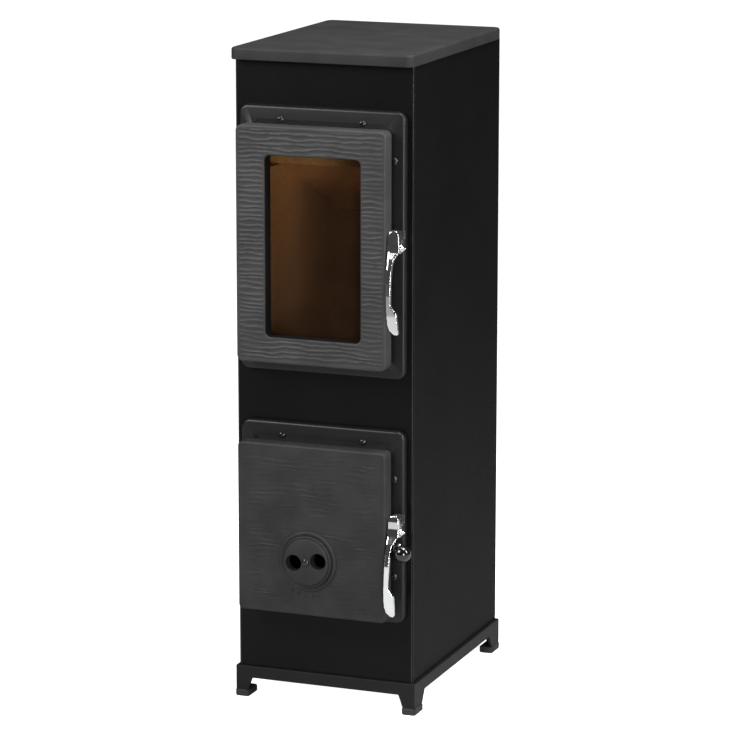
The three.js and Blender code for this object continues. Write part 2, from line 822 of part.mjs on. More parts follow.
function emberFence() {
  const half = fireHalf - slideGap;
  const from = -grateFront + fenceSetback;
  const low = grateTop + seatGap;
  const plate = block(-half, half, from, from + fenceThick, low, fenceTop);
  const slots = [];
  const pitch = (2 * half) / fenceSlotCount;
  const through = [from - 1, from + fenceThick + 1];
  for (let i = 0; i < fenceSlotCount; i += 1) {
    const x = -half + pitch * (i + 0.5);
    const edge = fenceSlotWidth / 2;
    slots.push(block(x - edge, x + edge, ...through, low + fenceBorder, fenceTop - fenceBorder));
  }
  return cut(plate, slots);
}

// ---- ash pan ----
function ashPan() {
  const left = doorMiddle - panWidth / 2;
  const right = doorMiddle + panWidth / 2;
  const low = ashFloorTop + seatGap;
  const front = -panFront;
  const back = bodyBack - panRearRoom;
  const outer = block(left, right, front, back, low, low + panHeight);
  const room = block(
    left + panWall,
    right - panWall,
    front + panWall,
    back - panWall,
    low + panWall,
    low + panHeight + 1,
  );
  return outer.subtract(room).add(panLoop());
}

function panHandleEnds() {
  const z = ashFloorTop + seatGap + panHeight - panHandleDrop;
  return [
    [doorMiddle - panHandleSpan / 2, z],
    [doorMiddle + panHandleSpan / 2, z],
  ];
}

// A wire loop, welded to the pan's front wall.
function panLoop() {
  const [[left, z], [right]] = panHandleEnds();
  const inside = -panFront + panWall / 2;
  const out = -panFront - panHandleReach;
  return tube(
    [
      [left, inside, z],
      [left, -panFront - panHandleStub, z],
      [left + panHandleCorner, out, z],
      [(left + right) / 2, out - 1, z],
      [right - panHandleCorner, out, z],
      [right, -panFront - panHandleStub, z],
      [right, inside, z],
    ],
    panHandleRadius,
    14,
    8,
  );
}

// ---- door frames ----
function ring(edges, insetOut, insetIn, standLow, standHigh, radius) {
  const outer = opening(edges, insetOut, radius, y(standHigh), y(standLow));
  return outer.subtract(opening(edges, insetIn, radius - 1, y(standHigh) - 1, y(standLow) + 1));
}

function hingeHeights(frame) {
  return [frame.door.low + hingeInset, frame.door.high - hingeInset - 2 * knuckleHeight];
}

function doorFrame(frame) {
  const outline = roundedRect(-frameHalfWidth, frameHalfWidth, frame.low, frame.high, frameCorner);
  const solid = uprightSlab(outline, y(frameThick), y(seatGap), frameEdge, 3);
  const { corner } = frame;
  const doorway = opening(frame.door, doorwayInset, corner, y(frameThick) - 1, y(seatGap) + 1);
  const collar = ring(frame.door, collarInset, doorwayInset, frameThick - 1, collarStand, corner);
  const spigotInset = doorwayInset - spigotWall;
  const spigot = ring(frame.door, spigotInset, doorwayInset, -spigotDepth, seatGap + 1, corner);
  const parts = [solid.subtract(doorway), collar, spigot, shoulder(frame)];
  for (const low of hingeHeights(frame)) {
    const axis = [hingeX, y(hingeStand)];
    parts.push(bar('z', low, low + knuckleHeight, knuckleRadius, axis, 12));
    const web = [hingeX - knuckleRadius, hingeX + knuckleRadius, y(hingeStand), y(frameThick - 1)];
    parts.push(block(...web, low, low + knuckleHeight));
  }
  const holes = frameScrewSpots(frame).map((spot) =>
    bar('y', y(frameThick) - 1, y(0) + 1, frameScrewShank + pinGap, spot, 8),
  );
  for (const low of hingeHeights(frame)) {
    const axis = [hingeX, y(hingeStand)];
    holes.push(bar('z', low - 1, low + knuckleHeight + 1, hingePinRadius + pinGap, axis, 10));
  }
  if (frame === frames.lower) {
    holes.push(bar('y', y(frameThick) - 1, y(0) + 1, rodRadius + slideGap, [rodX, rodHeight], 16));
  }
  return cut(join(parts), holes);
}

// A sloped shoulder above the door; the upper one is slotted for the air that washes the glass.
function shoulder(frame) {
  const lip = y(doorRear - shoulderGap);
  const root = y(frameThick - 1);
  const foot = frame.door.high - shoulderDrop;
  const top = frame.door.high + shoulderRise;
  const outline = polygon([
    [lip, foot],
    [root, foot],
    [root, top],
    [y(frameThick), top],
    [lip, frame.door.high - shoulderLip],
  ]);
  const ridge = sideSlab(outline, -shoulderHalfWidth, shoulderHalfWidth);
  const spotFaces = frameScrewSpots(frame).map((spot) =>
    bar('y', lip - 1, y(frameThick), frameScrewRadius + slideGap, spot, 12),
  );
  const slots = [];
  for (let i = 0; frame === frames.upper && i < airSlotCount; i += 1) {
    const x = doorMiddle + (i - (airSlotCount - 1) / 2) * airSlotPitch;
    const edge = airSlotWidth / 2;
    slots.push(block(x - edge, x + edge, lip - 1, y(frameThick + airSlotFloor), foot - 1, top + 1));
  }
  return cut(ridge, [...spotFaces, ...slots]);
}

function frameScrew(spot) {
  const seat = frameThick + seatGap;
  const head = bar('y', y(seat + frameScrewHead), y(seat), frameScrewRadius, spot, 12);
  return head.add(bar('y', y(seat + 1), y(-frameScrewDepth), frameScrewShank, spot, 8));
}

// ---- doors ----
function doorShell(frame) {
  const { corner } = frame;
  const outline = roundedRect(doorLeft, doorRight, frame.door.low, frame.door.high, corner);
  let solid = uprightSlab(outline, y(doorFace), y(doorRear), doorEdge, 2, 2);
  const plateRear = doorFace - doorPlate;
  solid = solid.subtract(opening(frame.door, doorRim, corner, y(plateRear), y(doorRear) + 1));
  const inner = grooveInset + grooveWidth;
  const grooveFront = doorRear + grooveDepth;
  solid = solid.subtract(ring(frame.door, grooveInset, inner, doorRear - 1, grooveFront, corner));
  const axis = [hingeX, y(hingeStand)];
  for (const low of hingeHeights(frame)) {
    const mid = low + knuckleHeight;
    const top = mid + knuckleGap + knuckleHeight;
    const notch = bar('z', low - 1, top + hingeHeadHeight + 3, knuckleRadius + slideGap, axis, 12);
    solid = solid.subtract(notch);
    solid = solid.add(bar('z', mid + knuckleGap, top, knuckleRadius, axis, 12));
    const across = [doorLeft + slideGap / 2, doorLeft + hingeBlockWidth];
    const depths = [y(hingeStand + hingeBlockReach), y(doorRear)];
    solid = solid.add(block(...across, ...depths, mid + knuckleGap, top));
    solid = solid.subtract(bar('z', mid - 1, top + 1, hingePinRadius + pinGap, axis, 10));
  }
  return solid;
}

function hingePin(low) {
  const axis = [hingeX, y(hingeStand)];
  const top = low + 2 * knuckleHeight + knuckleGap + seatGap;
  const shank = bar('z', low - 1, top + 0.5, hingePinRadius, axis, 10);
  return shank.add(bar('z', top, top + hingeHeadHeight, hingePinHead, axis, 12));
}

function handlePinHole(height) {
  const across = [y(handleStand), height];
  return bar('x', doorRight - handlePinGrip - 1, doorRight + 1, handlePinRadius + pinGap, across, 16);
}

const glassFrontStand = doorRear;
const gasketFrontStand = glassFrontStand + seatGap + gasketThick;
const windowWallRear = gasketFrontStand + seatGap;

function clipSpots() {
  const left = windowEdges.left - clipSetOut;
  const right = windowEdges.right + clipSetOut;
  const low = windowEdges.low + clipScrewEnd;
  const high = windowEdges.high - clipScrewEnd;
  return [low, high].flatMap((z) => [
    [left, z, 1],
    [right, z, -1],
  ]);
}

function upperDoor() {
  const frame = frames.upper;
  const wallFront = doorFace - doorPlate + 1;
  const wall = ring(windowEdges, -windowWall, 0, windowWallRear, wallFront, windowCorner + 2);
  const bosses = clipSpots().map(([x, z]) =>
    bar('y', y(wallFront), y(glassFrontStand - glassThick), clipBossRadius, [x, z], 10),
  );
  const holes = clipSpots().map(([x, z]) =>
    bar('y', y(doorRear + 8), y(0), clipScrewRadius + pinGap, [x, z], 8),
  );
  const window = opening(windowEdges, 0, windowCorner, y(doorFace) - 1, y(doorRear) + 1);
  const whole = join([doorShell(frame), wall, ...bosses]);
  return cut(whole, [window, ...holes, handlePinHole(upperHandleHeight)]);
}

const discMiddle = [discX, discHeight];
const bossFace = doorFace + discBossHeight;

function airHoles(yFront, yBack) {
  return [-1, 1].map((side) =>
    bar('y', yFront, yBack, airHoleRadius, [discX + side * airHoleOffset, discHeight], 16),
  );
}

function lowerDoor() {
  const boss = bar('y', y(bossFace), y(doorFace - 1), discBossRadius, discMiddle, 32);
  const rivetHole = bar('y', y(bossFace) - 1, y(0), rivetRadius + pinGap, discMiddle, 10);
  const holes = [...airHoles(y(bossFace) - 1, y(0)), rivetHole, handlePinHole(lowerHandleHeight)];
  return cut(doorShell(frames.lower).add(boss), holes);
}

function airDisc() {
  const back = y(bossFace + seatGap);
  const front = back - discThick;
  const disc = bar('y', front, back, discRadius, discMiddle, 32);
  const bevel = bar('y', front, back, discRadius - discEdge, discMiddle, 32, discRadius + discEdge);
  const rivetHole = bar('y', front - 1, back + 1, rivetRadius + pinGap, discMiddle, 10);
  return cut(disc.intersect(bevel), [...airHoles(front - 1, back + 1), rivetHole]);
}

function airDiscRivet() {
  const front = bossFace + seatGap + discThick + seatGap;
  const plateRear = doorFace - doorPlate - seatGap;
  const end = plateRear - rivetTail;
  const shank = bar('y', y(front + 1), y(end), rivetRadius, discMiddle, 10);
  const headSpan = [y(front + rivetHeadHeight), y(front)];
  const head = bar('y', ...headSpan, rivetHeadTop, discMiddle, 14, rivetHeadRadius);
  const tail = bar('y', y(plateRear), y(end), rivetHeadRadius, discMiddle, 12);
  return join([shank, head, tail]);
}

function doorRope(frame) {
  const outer = grooveInset + ropeFit;
  const inner = grooveInset + grooveWidth - ropeFit;
  const front = doorRear + grooveDepth - seatGap;
  return ring(frame.door, outer, inner, doorRear + seatGap, front, frame.corner);
}

function windowGlass() {
  const rear = glassFrontStand - glassThick;
  return opening(windowEdges, -glassLap, glassCorner, y(glassFrontStand), y(rear));
}

function windowGasket() {
  const rear = glassFrontStand + seatGap;
  return ring(windowEdges, -gasketWidth - 1, -1, rear, gasketFrontStand, windowCorner + 2);
}

// A strip that clamps one long edge of the glass, with its two screws.
function glassClip(sideSign) {
  const front = glassFrontStand - glassThick - seatGap;
  const reach = clipSetOut - glassLap + clipLap;
  const spots = clipSpots().filter(([, , side]) => side === sideSign);
  const x = spots[0][0];
  const inner = x + sideSign * reach;
  const outer = x - sideSign * clipBossRadius;
  const low = spots[0][1] - clipEnd;
  const high = spots[1][1] + clipEnd;
  const rear = front - clipThick;
  const across = [Math.min(inner, outer), Math.max(inner, outer)];
  const strip = block(...across, y(front), y(rear), low, high);
  const screws = spots.flatMap(([, z]) => [
    bar('y', y(front - 1), y(rear - clipScrewHead), clipScrewRadius * 2, [x, z], 10),
    bar('y', y(doorRear + clipScrewGrip), y(front - 1), clipScrewRadius, [x, z], 8),
  ]);
  return join([strip, ...screws]);
}

// ---- handles ----
// The front outline of the hanging lever, from the hub's middle: right and up.
const leverFront = [
  [-9, 8], [-9, 18], [-8, 23.5], [-5, 27.5], [-1, 29], [4, 27.5], [7.5, 22], [9, 14],
  [9.5, 6], [9.5, -5], [6, -11], [2.5, -18], [1, -30], [1, -55], [0.8, -86],
  [5, -93], [10.5, -100], [11.8, -116], [12.5, -131], [11, -133.8], [5, -133],
  [-1.5, -127.5], [-4.8, -119], [-6, -105], [-6.5, -88], [-6.8, -56], [-7, -25], [-8, -8],
];
// Its side outline: forward and up.
const leverSide = [
  [0.8, 8], [0.8, 23], [2.5, 27.5], [5.5, 29], [8, 26], [9.5, 18], [10, 6], [12, -5],
  [18, -17], [23, -32], [25.5, -52], [26, -72], [25, -104], [22.5, -134.5],
  [16.5, -134.5], [18, -104], [19, -72], [18.5, -52], [16, -37], [11, -24], [4, -13], [0, -7],
];
const leverRoom = 40; // more than the lever reaches to any side

function handle(height, lean) {
  const angle = THREE.MathUtils.degToRad(lean);
  const front = leverFront.map(([right, up]) => [
    handleX + right * Math.cos(angle) + up * Math.sin(angle),
    height - right * Math.sin(angle) + up * Math.cos(angle),
  ]);
  const side = leverSide.map(([forward, up]) => [y(handleStand + forward), height + up]);
  const frontCut = uprightSlab(polygon(front), y(handleStand + leverRoom), y(handleStand - leverRoom));
  const sideCut = sideSlab(polygon(side), handleX - leverRoom, handleX + leverRoom);
  const across = [y(handleStand), height];
  const hub = bar('x', doorRight + slideGap / 2, hubRight, hubRadius, across, 24);
  const noseOutline = [
    [0, armLow],
    [noseReach, armLow],
    [noseReach, noseHigh],
    [noseReach - noseThick, noseHigh],
    [noseReach - noseThick, armHigh],
    [0, armHigh],
  ].map(([back, up]) => [y(handleStand) + back, height + up]);
  const nose = sideSlab(polygon(noseOutline), handleX - noseWidth / 2, handleX + noseWidth / 2);
  const hole = bar('x', doorRight - 1, hubRight + 1, handlePinRadius + pinGap, across, 16);
  return join([sideCut.intersect(frontCut), hub, nose]).subtract(hole);
}

function handlePin(height) {
  const across = [y(handleStand), height];
  const seat = hubRight + seatGap;
  const shank = bar('x', doorRight - handlePinGrip, seat + 1, handlePinRadius, across, 16);
  const cap = bar('x', seat, seat + pinCapLength, pinCapRadius, across, 20, pinTipRadius);
  return shank.add(cap);
}

function keeper(height) {
  const left = handleX - keeperWidth / 2;
  const right = handleX + keeperWidth / 2;
  const plateLow = frameThick + seatGap;
  const plateHigh = plateLow + keeperPlateThick;
  const earLow = height + keeperBarRise - keeperBarRadius;
  const earHigh = height + keeperBarRise + keeperBarRadius;
  const earStand = handleStand - keeperBarReach + keeperBarRadius;
  const plate = block(left, right, y(plateHigh), y(plateLow), earLow, height + keeperPlateHigh);
  const ears = [left, right - keeperWall].map((x) =>
    block(x, x + keeperWall, y(earStand), y(plateHigh - 0.5), earLow, earHigh),
  );
  const rodAcross = [y(handleStand - keeperBarReach), height + keeperBarRise];
  return join([plate, ...ears, bar('x', left, right, keeperBarRadius, rodAcross, 12)]);
}

// ---- assembly ----
place('top_plate', topPlate(), castIron);
place('front_panel', frontPanel(), casingEnamel);
place('left_panel', sidePanel(-1), casingEnamel);
place('right_panel', sidePanel(1), casingEnamel);
place('rear_panel', rearPanel(), casingEnamel);
place('base_frame', baseFrame(), castIron);
place('front_left_foot_cap', footCap(-1, -1), capRubber);
place('front_right_foot_cap', footCap(1, -1), capRubber);
place('rear_left_foot_cap', footCap(-1, 1), capRubber);
place('rear_right_foot_cap', footCap(1, 1), capRubber);
place('base_plate', basePlate(), steelSheet);

place('firebox_body', fireboxBody(), steelSheet);
place('flue_collar', flueCollar(), castIron);
place('left_brick', sideBrick(-1), fireBoard);
place('right_brick', sideBrick(1), fireBoard);
place('back_brick', backLining(brickThick, grateTop + seatGap, brickTop - seatGap), fireBoard);
place('left_board', sideBoard(-1), fireBoard);
place('right_board', sideBoard(1), fireBoard);
place('back_board', backLining(boardThick, brickTop, baffleRearHeight - seatGap), fireBoard);
place('front_brick', frontBrick(), fireBoard);
place('rear_baffle', baffle(-baffleJoint + seatGap / 2, liningBack), fireBoard);
place('front_baffle', baffle(-baffleFront, -baffleJoint - seatGap / 2), fireBoard);

place('grate_frame', grateFrame(), castIron);
place('riddling_grate', riddlingGrate(), castIron);
place('riddling_rod', riddlingRod(), brightSteel);
place('riddling_knob', riddlingKnob(), knobPlastic);
place('rod_escutcheon', rodEscutcheon(), chrome);
place('ember_fence', emberFence(), castIron);
place('ash_pan', ashPan(), steelSheet);

place('upper_frame', doorFrame(frames.upper), castIron);
place('upper_door', upperDoor(), castIron);
place('upper_door_rope', doorRope(frames.upper), sealRope);
place('window_glass', windowGlass(), ceramicGlass);
place('window_gasket', windowGasket(), sealRope);
place('left_glass_clip', glassClip(1), brightSteel);
place('right_glass_clip', glassClip(-1), brightSteel);
place('upper_handle', handle(upperHandleHeight, 0), chrome);
place('upper_handle_pin', handlePin(upperHandleHeight), chrome);
place('upper_keeper', keeper(upperHandleHeight), brightSteel);

place('lower_frame', doorFrame(frames.lower), castIron);
place('lower_door', lowerDoor(), castIron);
place('lower_door_rope', doorRope(frames.lower), sealRope);
place('air_disc', airDisc(), castIron);
place('air_disc_rivet', airDiscRivet(), blackScrew);
place('lower_handle', handle(lowerHandleHeight, lowerHandleLean), chrome);
place('lower_handle_pin', handlePin(lowerHandleHeight), chrome);
place('lower_keeper', keeper(lowerHandleHeight), brightSteel);

for (const [name, frame] of Object.entries(frames)) {
  frameScrewSpots(frame).forEach((spot, i) => {
    place(`${name}_frame_screw_${i + 1}`, frameScrew(spot), blackScrew);
  });
  hingeHeights(frame).forEach((low, i) => {
    place(`${name}_hinge_pin_${i + 1}`, hingePin(low), brightSteel);
  });
}

// The origin is on the floor, under the middle of everything that the stove reaches.
const reach = new THREE.Box3().setFromObject(stove);
stove.position.set(-(reach.min.x + reach.max.x) / 2, -(reach.min.y + reach.max.y) / 2, 0);

export default stove;
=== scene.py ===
import json
import math

import bpy
import bmesh
from mathutils import Matrix, Vector, noise


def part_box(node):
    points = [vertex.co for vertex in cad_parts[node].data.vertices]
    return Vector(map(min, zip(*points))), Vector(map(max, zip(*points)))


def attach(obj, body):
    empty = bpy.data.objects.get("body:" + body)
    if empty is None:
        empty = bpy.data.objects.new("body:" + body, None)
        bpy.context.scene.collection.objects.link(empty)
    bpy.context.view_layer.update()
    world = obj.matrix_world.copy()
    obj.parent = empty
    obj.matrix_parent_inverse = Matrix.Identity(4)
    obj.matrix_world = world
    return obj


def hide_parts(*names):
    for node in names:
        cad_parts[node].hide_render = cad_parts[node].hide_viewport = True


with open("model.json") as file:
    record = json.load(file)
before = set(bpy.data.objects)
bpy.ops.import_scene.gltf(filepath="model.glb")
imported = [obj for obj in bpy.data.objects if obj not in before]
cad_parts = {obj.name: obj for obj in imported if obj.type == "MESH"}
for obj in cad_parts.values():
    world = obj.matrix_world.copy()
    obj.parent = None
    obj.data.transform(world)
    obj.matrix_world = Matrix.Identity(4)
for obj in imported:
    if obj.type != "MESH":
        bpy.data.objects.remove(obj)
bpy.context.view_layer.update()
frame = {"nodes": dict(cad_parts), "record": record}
record = frame["record"]
bodyOf = {node: body for body, nodes in record["behaviour"]["bodies"].items() for node in nodes}
slotOf = {part["node"]: part["material_slot"] for part in record["subparts"]}
mm = 0.001

# Everything below is in millimetres: x from the casing's middle, stand ahead of its front, z up.
midX = (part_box("left_panel")[0].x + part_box("right_panel")[1].x) / 2
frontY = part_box("front_panel")[0].y


def at(x, stand, z):
    return Vector((midX + x * mm, frontY - stand * mm, z * mm))


def spanOf(node):
    low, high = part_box(node)
    return {
        "x0": (low.x - midX) / mm, "x1": (high.x - midX) / mm,
        "front": (frontY - low.y) / mm, "rear": (frontY - high.y) / mm,
        "z0": low.z / mm, "z1": high.z / mm,
    }


def middleOf(node):
    span = spanOf(node)
    return [(span["x0"] + span["x1"]) / 2, (span["front"] + span["rear"]) / 2, (span["z0"] + span["z1"]) / 2]


# Adds one shader node, with its settings and the values of its unlinked sockets.
def addNode(material, kind, inputs=None, **settings):
    node = material.node_tree.nodes.new(kind)
    for key, value in settings.items():
        setattr(node, key, value)
    for key, value in (inputs or {}).items():
        node.inputs[key].default_value = value
    return node


def link(material, output, target):
    material.node_tree.links.new(output, target)


def bareFinish(name, look):
    material = bpy.data.materials.new(name)
    material.use_nodes = True
    shader = material.node_tree.nodes["Principled BSDF"]
    shader.inputs["Metallic"].default_value = look.get("metallic", 0)
    shader.inputs["Specular IOR Level"].default_value = look.get("specular", 0.5)
    shader.inputs["Roughness"].default_value = look.get("roughness", [0.5, 0.5])[0]
    shader.inputs["Coat Weight"].default_value = look.get("coat", 0)
    shader.inputs["Coat Roughness"].default_value = look.get("coatRoughness", 0.1)
    return material, shader


def noiseOn(material, scale, detail=3, stretch=(1, 1, 1), distortion=0):
    place = addNode(material, "ShaderNodeTexCoord")
    mapping = addNode(material, "ShaderNodeMapping", {"Scale": stretch})
    link(material, place.outputs["Object"], mapping.inputs["Vector"])
    values = {"Scale": scale, "Detail": detail, "Distortion": distortion}
    pattern = addNode(material, "ShaderNodeTexNoise", values)
    link(material, mapping.outputs["Vector"], pattern.inputs["Vector"])
    return pattern.outputs["Fac"]


def spread(material, value, low, high, fromLow=0.3, fromHigh=0.7):
    ranged = addNode(material, "ShaderNodeMapRange", {
        "From Min": fromLow, "From Max": fromHigh, "To Min": low, "To Max": high,
    })
    link(material, value, ranged.inputs["Value"])
    return ranged.outputs["Result"]


def twoTone(material, value, dark, light, low=0.35, high=0.65):
    ramp = addNode(material, "ShaderNodeValToRGB")
    ramp.color_ramp.elements[0].position = low
    ramp.color_ramp.elements[0].color = (*dark, 1)
    ramp.color_ramp.elements[1].position = high
    ramp.color_ramp.elements[1].color = (*light, 1)
    link(material, value, ramp.inputs["Fac"])
    return ramp.outputs["Color"]


# A grained, slightly blotchy surface: colour, roughness and height all vary.
def grainedFinish(name, look):
    material, shader = bareFinish(name, look)
    stretch = look.get("stretch", (1, 1, 1))
    blotch = noiseOn(material, look["blotchScale"], 4, stretch)
    grain = noiseOn(material, look["grainScale"], 5, stretch)
    link(material, twoTone(material, blotch, look["dark"], look["light"]), shader.inputs["Base Color"])
    low, high = look["roughness"]
    link(material, spread(material, grain, low, high), shader.inputs["Roughness"])
    height = addNode(material, "ShaderNodeMath", operation="MULTIPLY_ADD")
    height.inputs[1].default_value = look.get("waveShare", 0)
    link(material, blotch, height.inputs[0])
    link(material, grain, height.inputs[2])
    bump = addNode(material, "ShaderNodeBump", {"Strength": look["bump"], "Distance": look["depth"] * mm})
    link(material, height.outputs["Value"], bump.inputs["Height"])
    link(material, bump.outputs["Normal"], shader.inputs["Normal"])
    return material


# Fire board: painted shade darkens it towards the back of the chamber and towards its foot, and random smoke
# patches mottle it; both blend towards one dark colour.
def fireBoardFinish(name, look):
    material, shader = bareFinish(name, look)
    place = addNode(material, "ShaderNodeTexCoord")
    axes = addNode(material, "ShaderNodeSeparateXYZ")
    link(material, place.outputs["Object"], axes.inputs["Vector"])
    # Painted shade: the board is blended towards the dark colour deeper in the chamber and lower down.
    deep = spread(material, axes.outputs["Y"], *look["deepShade"], *look["deepFrom"])
    high = spread(material, axes.outputs["Z"], *look["footShade"], *look["footFrom"])
    flakes = noiseOn(material, look["grainScale"], 6)
    smoke = noiseOn(material, look["blotchScale"], 4, look["smokeStretch"], look["smokeTwist"])
    shade = addNode(material, "ShaderNodeMath", operation="MULTIPLY")
    link(material, deep, shade.inputs[0])
    link(material, high, shade.inputs[1])
    shadedMottle = addNode(material, "ShaderNodeMath", operation="MULTIPLY")
    link(material, shade.outputs["Value"], shadedMottle.inputs[0])
    link(material, spread(material, smoke, *look["smokeShade"]), shadedMottle.inputs[1])
    board = twoTone(material, flakes, look["dark"], look["light"], 0.3, 0.7)
    sootedAndShaded = addNode(material, "ShaderNodeMix", data_type="RGBA", clamp_factor=True)
    sootedAndShaded.inputs["A"].default_value = (*look["sootAndShade"], 1)
    link(material, shadedMottle.outputs["Value"], sootedAndShaded.inputs["Factor"])
    link(material, board, sootedAndShaded.inputs["B"])
    link(material, sootedAndShaded.outputs["Result"], shader.inputs["Base Color"])
    link(material, spread(material, flakes, *look["roughness"]), shader.inputs["Roughness"])
    bump = addNode(material, "ShaderNodeBump", {"Strength": look["bump"], "Distance": look["depth"] * mm})
    link(material, flakes, bump.inputs["Height"])
    link(material, bump.outputs["Normal"], shader.inputs["Normal"])
    return material


def glassFinish(name, look):
    material, shader = bareFinish(name, look)
    haze = noiseOn(material, look["hazeScale"], 3)
    link(material, twoTone(material, haze, look["dark"], look["light"]), shader.inputs["Base Color"])
    link(material, spread(material, haze, *look["roughness"]), shader.inputs["Roughness"])
    shader.inputs["Alpha"].default_value = look["alpha"]
    return material


castLook = {
    "dark": (0.034, 0.034, 0.035), "light": (0.046, 0.046, 0.047), "blotchScale": 22, "grainScale": 750,
    "roughness": (0.48, 0.66), "specular": 0.35, "bump": 0.35, "depth": 0.25,
}
frameCastLook = {
    "dark": (0.0058, 0.0058, 0.0059), "light": (0.0085, 0.0085, 0.0087), "blotchScale": 24, "grainScale": 700,
    "roughness": (0.36, 0.46), "specular": 0.4, "bump": 0.3, "depth": 0.25,
}
shoulderCastLook = {
    "dark": (0.0062, 0.0062, 0.0063), "light": (0.009, 0.009, 0.0092), "blotchScale": 24, "grainScale": 700,
    "roughness": (0.55, 0.7), "specular": 0.1, "bump": 0.3, "depth": 0.25,
}
# A darker copy of the doors' cast iron for the lower door, its boss, disc and marks: painted shade for the
# lower door lying lower, where less light reaches.
shadedLowerCastLook = {
    "dark": (0.022, 0.022, 0.0225), "light": (0.033, 0.033, 0.0335), "blotchScale": 22, "grainScale": 750,
    "roughness": (0.5, 0.68), "specular": 0.3, "bump": 0.35, "depth": 0.25,
}
topCastLook = {
    "dark": (0.021, 0.021, 0.0213), "light": (0.028, 0.028, 0.0283), "blotchScale": 18, "grainScale": 800,
    "roughness": (0.5, 0.64), "specular": 0.2, "bump": 0.3, "depth": 0.22,
}
enamelLook = {
    "dark": (0.0031, 0.003, 0.003), "light": (0.0042, 0.004, 0.004), "blotchScale": 9, "grainScale": 420,
    "roughness": (0.32, 0.42), "specular": 0.15, "bump": 0.08, "depth": 0.12,
}
# A lighter copy of the casing enamel for the side panels: painted light for the light that falls on the sides.
litSideLook = {
    "dark": (0.0044, 0.0042, 0.0042), "light": (0.0058, 0.0055, 0.0055), "blotchScale": 9, "grainScale": 420,
    "roughness": (0.38, 0.5), "specular": 0.04, "bump": 0.08, "depth": 0.12,
}
plinthLook = {
    "dark": (0.0068, 0.0068, 0.0068), "light": (0.0092, 0.0091, 0.0091), "blotchScale": 20, "grainScale": 800,
    "roughness": (0.45, 0.6), "specular": 0.3, "bump": 0.25, "depth": 0.2,
}
plateLook = {
    "dark": (0.026, 0.024, 0.023), "light": (0.044, 0.041, 0.038), "blotchScale": 16, "grainScale": 500,
    "roughness": (0.55, 0.75), "metallic": 0.3, "bump": 0.2, "depth": 0.2,
}
chromeLook = {
    "dark": (0.86, 0.87, 0.88), "light": (0.93, 0.94, 0.95), "blotchScale": 60, "grainScale": 300,
    "roughness": (0.05, 0.1), "metallic": 1, "bump": 0.03, "depth": 0.05,
}
screwLook = {
    "dark": (0.008, 0.008, 0.009), "light": (0.014, 0.014, 0.015), "blotchScale": 200, "grainScale": 900,
    "roughness": (0.2, 0.32), "specular": 0.6, "bump": 0.1, "depth": 0.1,
}
# An enamel much lighter and glossier than the casing's, for the corner strips: a painted highlight along the
# casing's front edges.
highlightCornerLook = {
    "dark": (0.016, 0.016, 0.0165), "light": (0.022, 0.022, 0.0225), "blotchScale": 40, "grainScale": 500,
    "roughness": (0.25, 0.35), "specular": 0.7, "bump": 0.05, "depth": 0.1,
}
# A near-black finish for the sheet that lines the window's reveal as painted shade; the side rivet also wears
# it as its own dark colour.
shadeLinerLook = {
    "dark": (0.004, 0.0037, 0.0035), "light": (0.0062, 0.0056, 0.0052), "blotchScale": 50, "grainScale": 600,
    "roughness": (0.6, 0.75), "specular": 0.2, "bump": 0.2, "depth": 0.15,
}
# deepShade and footShade paint shade into the fire board, deeper in the chamber and lower down; its dark colour
# serves both that painted shade and the smoke patches.
boardLook = {
    "dark": (0.78, 0.335, 0.1), "light": (0.97, 0.5, 0.165), "sootAndShade": (0.05, 0.026, 0.016),
    "grainScale": 160, "blotchScale": 7, "roughness": (0.85, 0.95), "bump": 0.12, "depth": 0.3,
    "deepFrom": (-0.18, 0.1), "deepShade": (0.95, 0.24), "footFrom": (0.58, 0.86), "footShade": (0.3, 1.15),
    "smokeStretch": (1, 1, 0.5), "smokeTwist": 0.6, "smokeShade": (0.82, 1.1),
}
# A lit copy of the fire board for the baffles: weaker painted shade and a lighter dark colour, as painted light
# for the light that reaches the chamber's roof near the window.
litBaffleLook = {
    "dark": (0.8, 0.36, 0.115), "light": (0.98, 0.53, 0.18), "sootAndShade": (0.1, 0.05, 0.03),
    "grainScale": 160, "blotchScale": 7, "roughness": (0.85, 0.95), "bump": 0.12, "depth": 0.3,
    "deepFrom": (-0.16, 0.1), "deepShade": (1.2, 0.6), "footFrom": (0.7, 0.86), "footShade": (0.8, 1.1),
    "smokeStretch": (1, 1, 0.5), "smokeTwist": 0.6, "smokeShade": (0.82, 1.1),
}
glassLook = {
    "dark": (0.035, 0.017, 0.008), "light": (0.045, 0.022, 0.01), "hazeScale": 30, "roughness": (0.03, 0.07),
    "alpha": 0.3, "specular": 0.2,
}
ropeLook = {
    "dark": (0.03, 0.03, 0.029), "light": (0.085, 0.083, 0.078), "blotchScale": 260, "grainScale": 1400,
    "roughness": (0.85, 0.98), "bump": 0.5, "depth": 0.3,
}
capLook = {
    "dark": (0.022, 0.022, 0.023), "light": (0.03, 0.03, 0.031), "blotchScale": 60, "grainScale": 900,
    "roughness": (0.6, 0.75), "bump": 0.25, "depth": 0.15,
}
knobLook = {
    "dark": (0.004, 0.004, 0.0045), "light": (0.006, 0.006, 0.0065), "blotchScale": 80, "grainScale": 400,
    "roughness": (0.06, 0.12), "specular": 0.6, "coat": 0.6, "coatRoughness": 0.04,
    "bump": 0.03, "depth": 0.05,
}
steelLook = {
    "dark": (0.34, 0.34, 0.35), "light": (0.46, 0.46, 0.47), "blotchScale": 70, "grainScale": 600,
    "roughness": (0.25, 0.4), "metallic": 1, "stretch": (1, 1, 0.15), "bump": 0.1, "depth": 0.1,
}

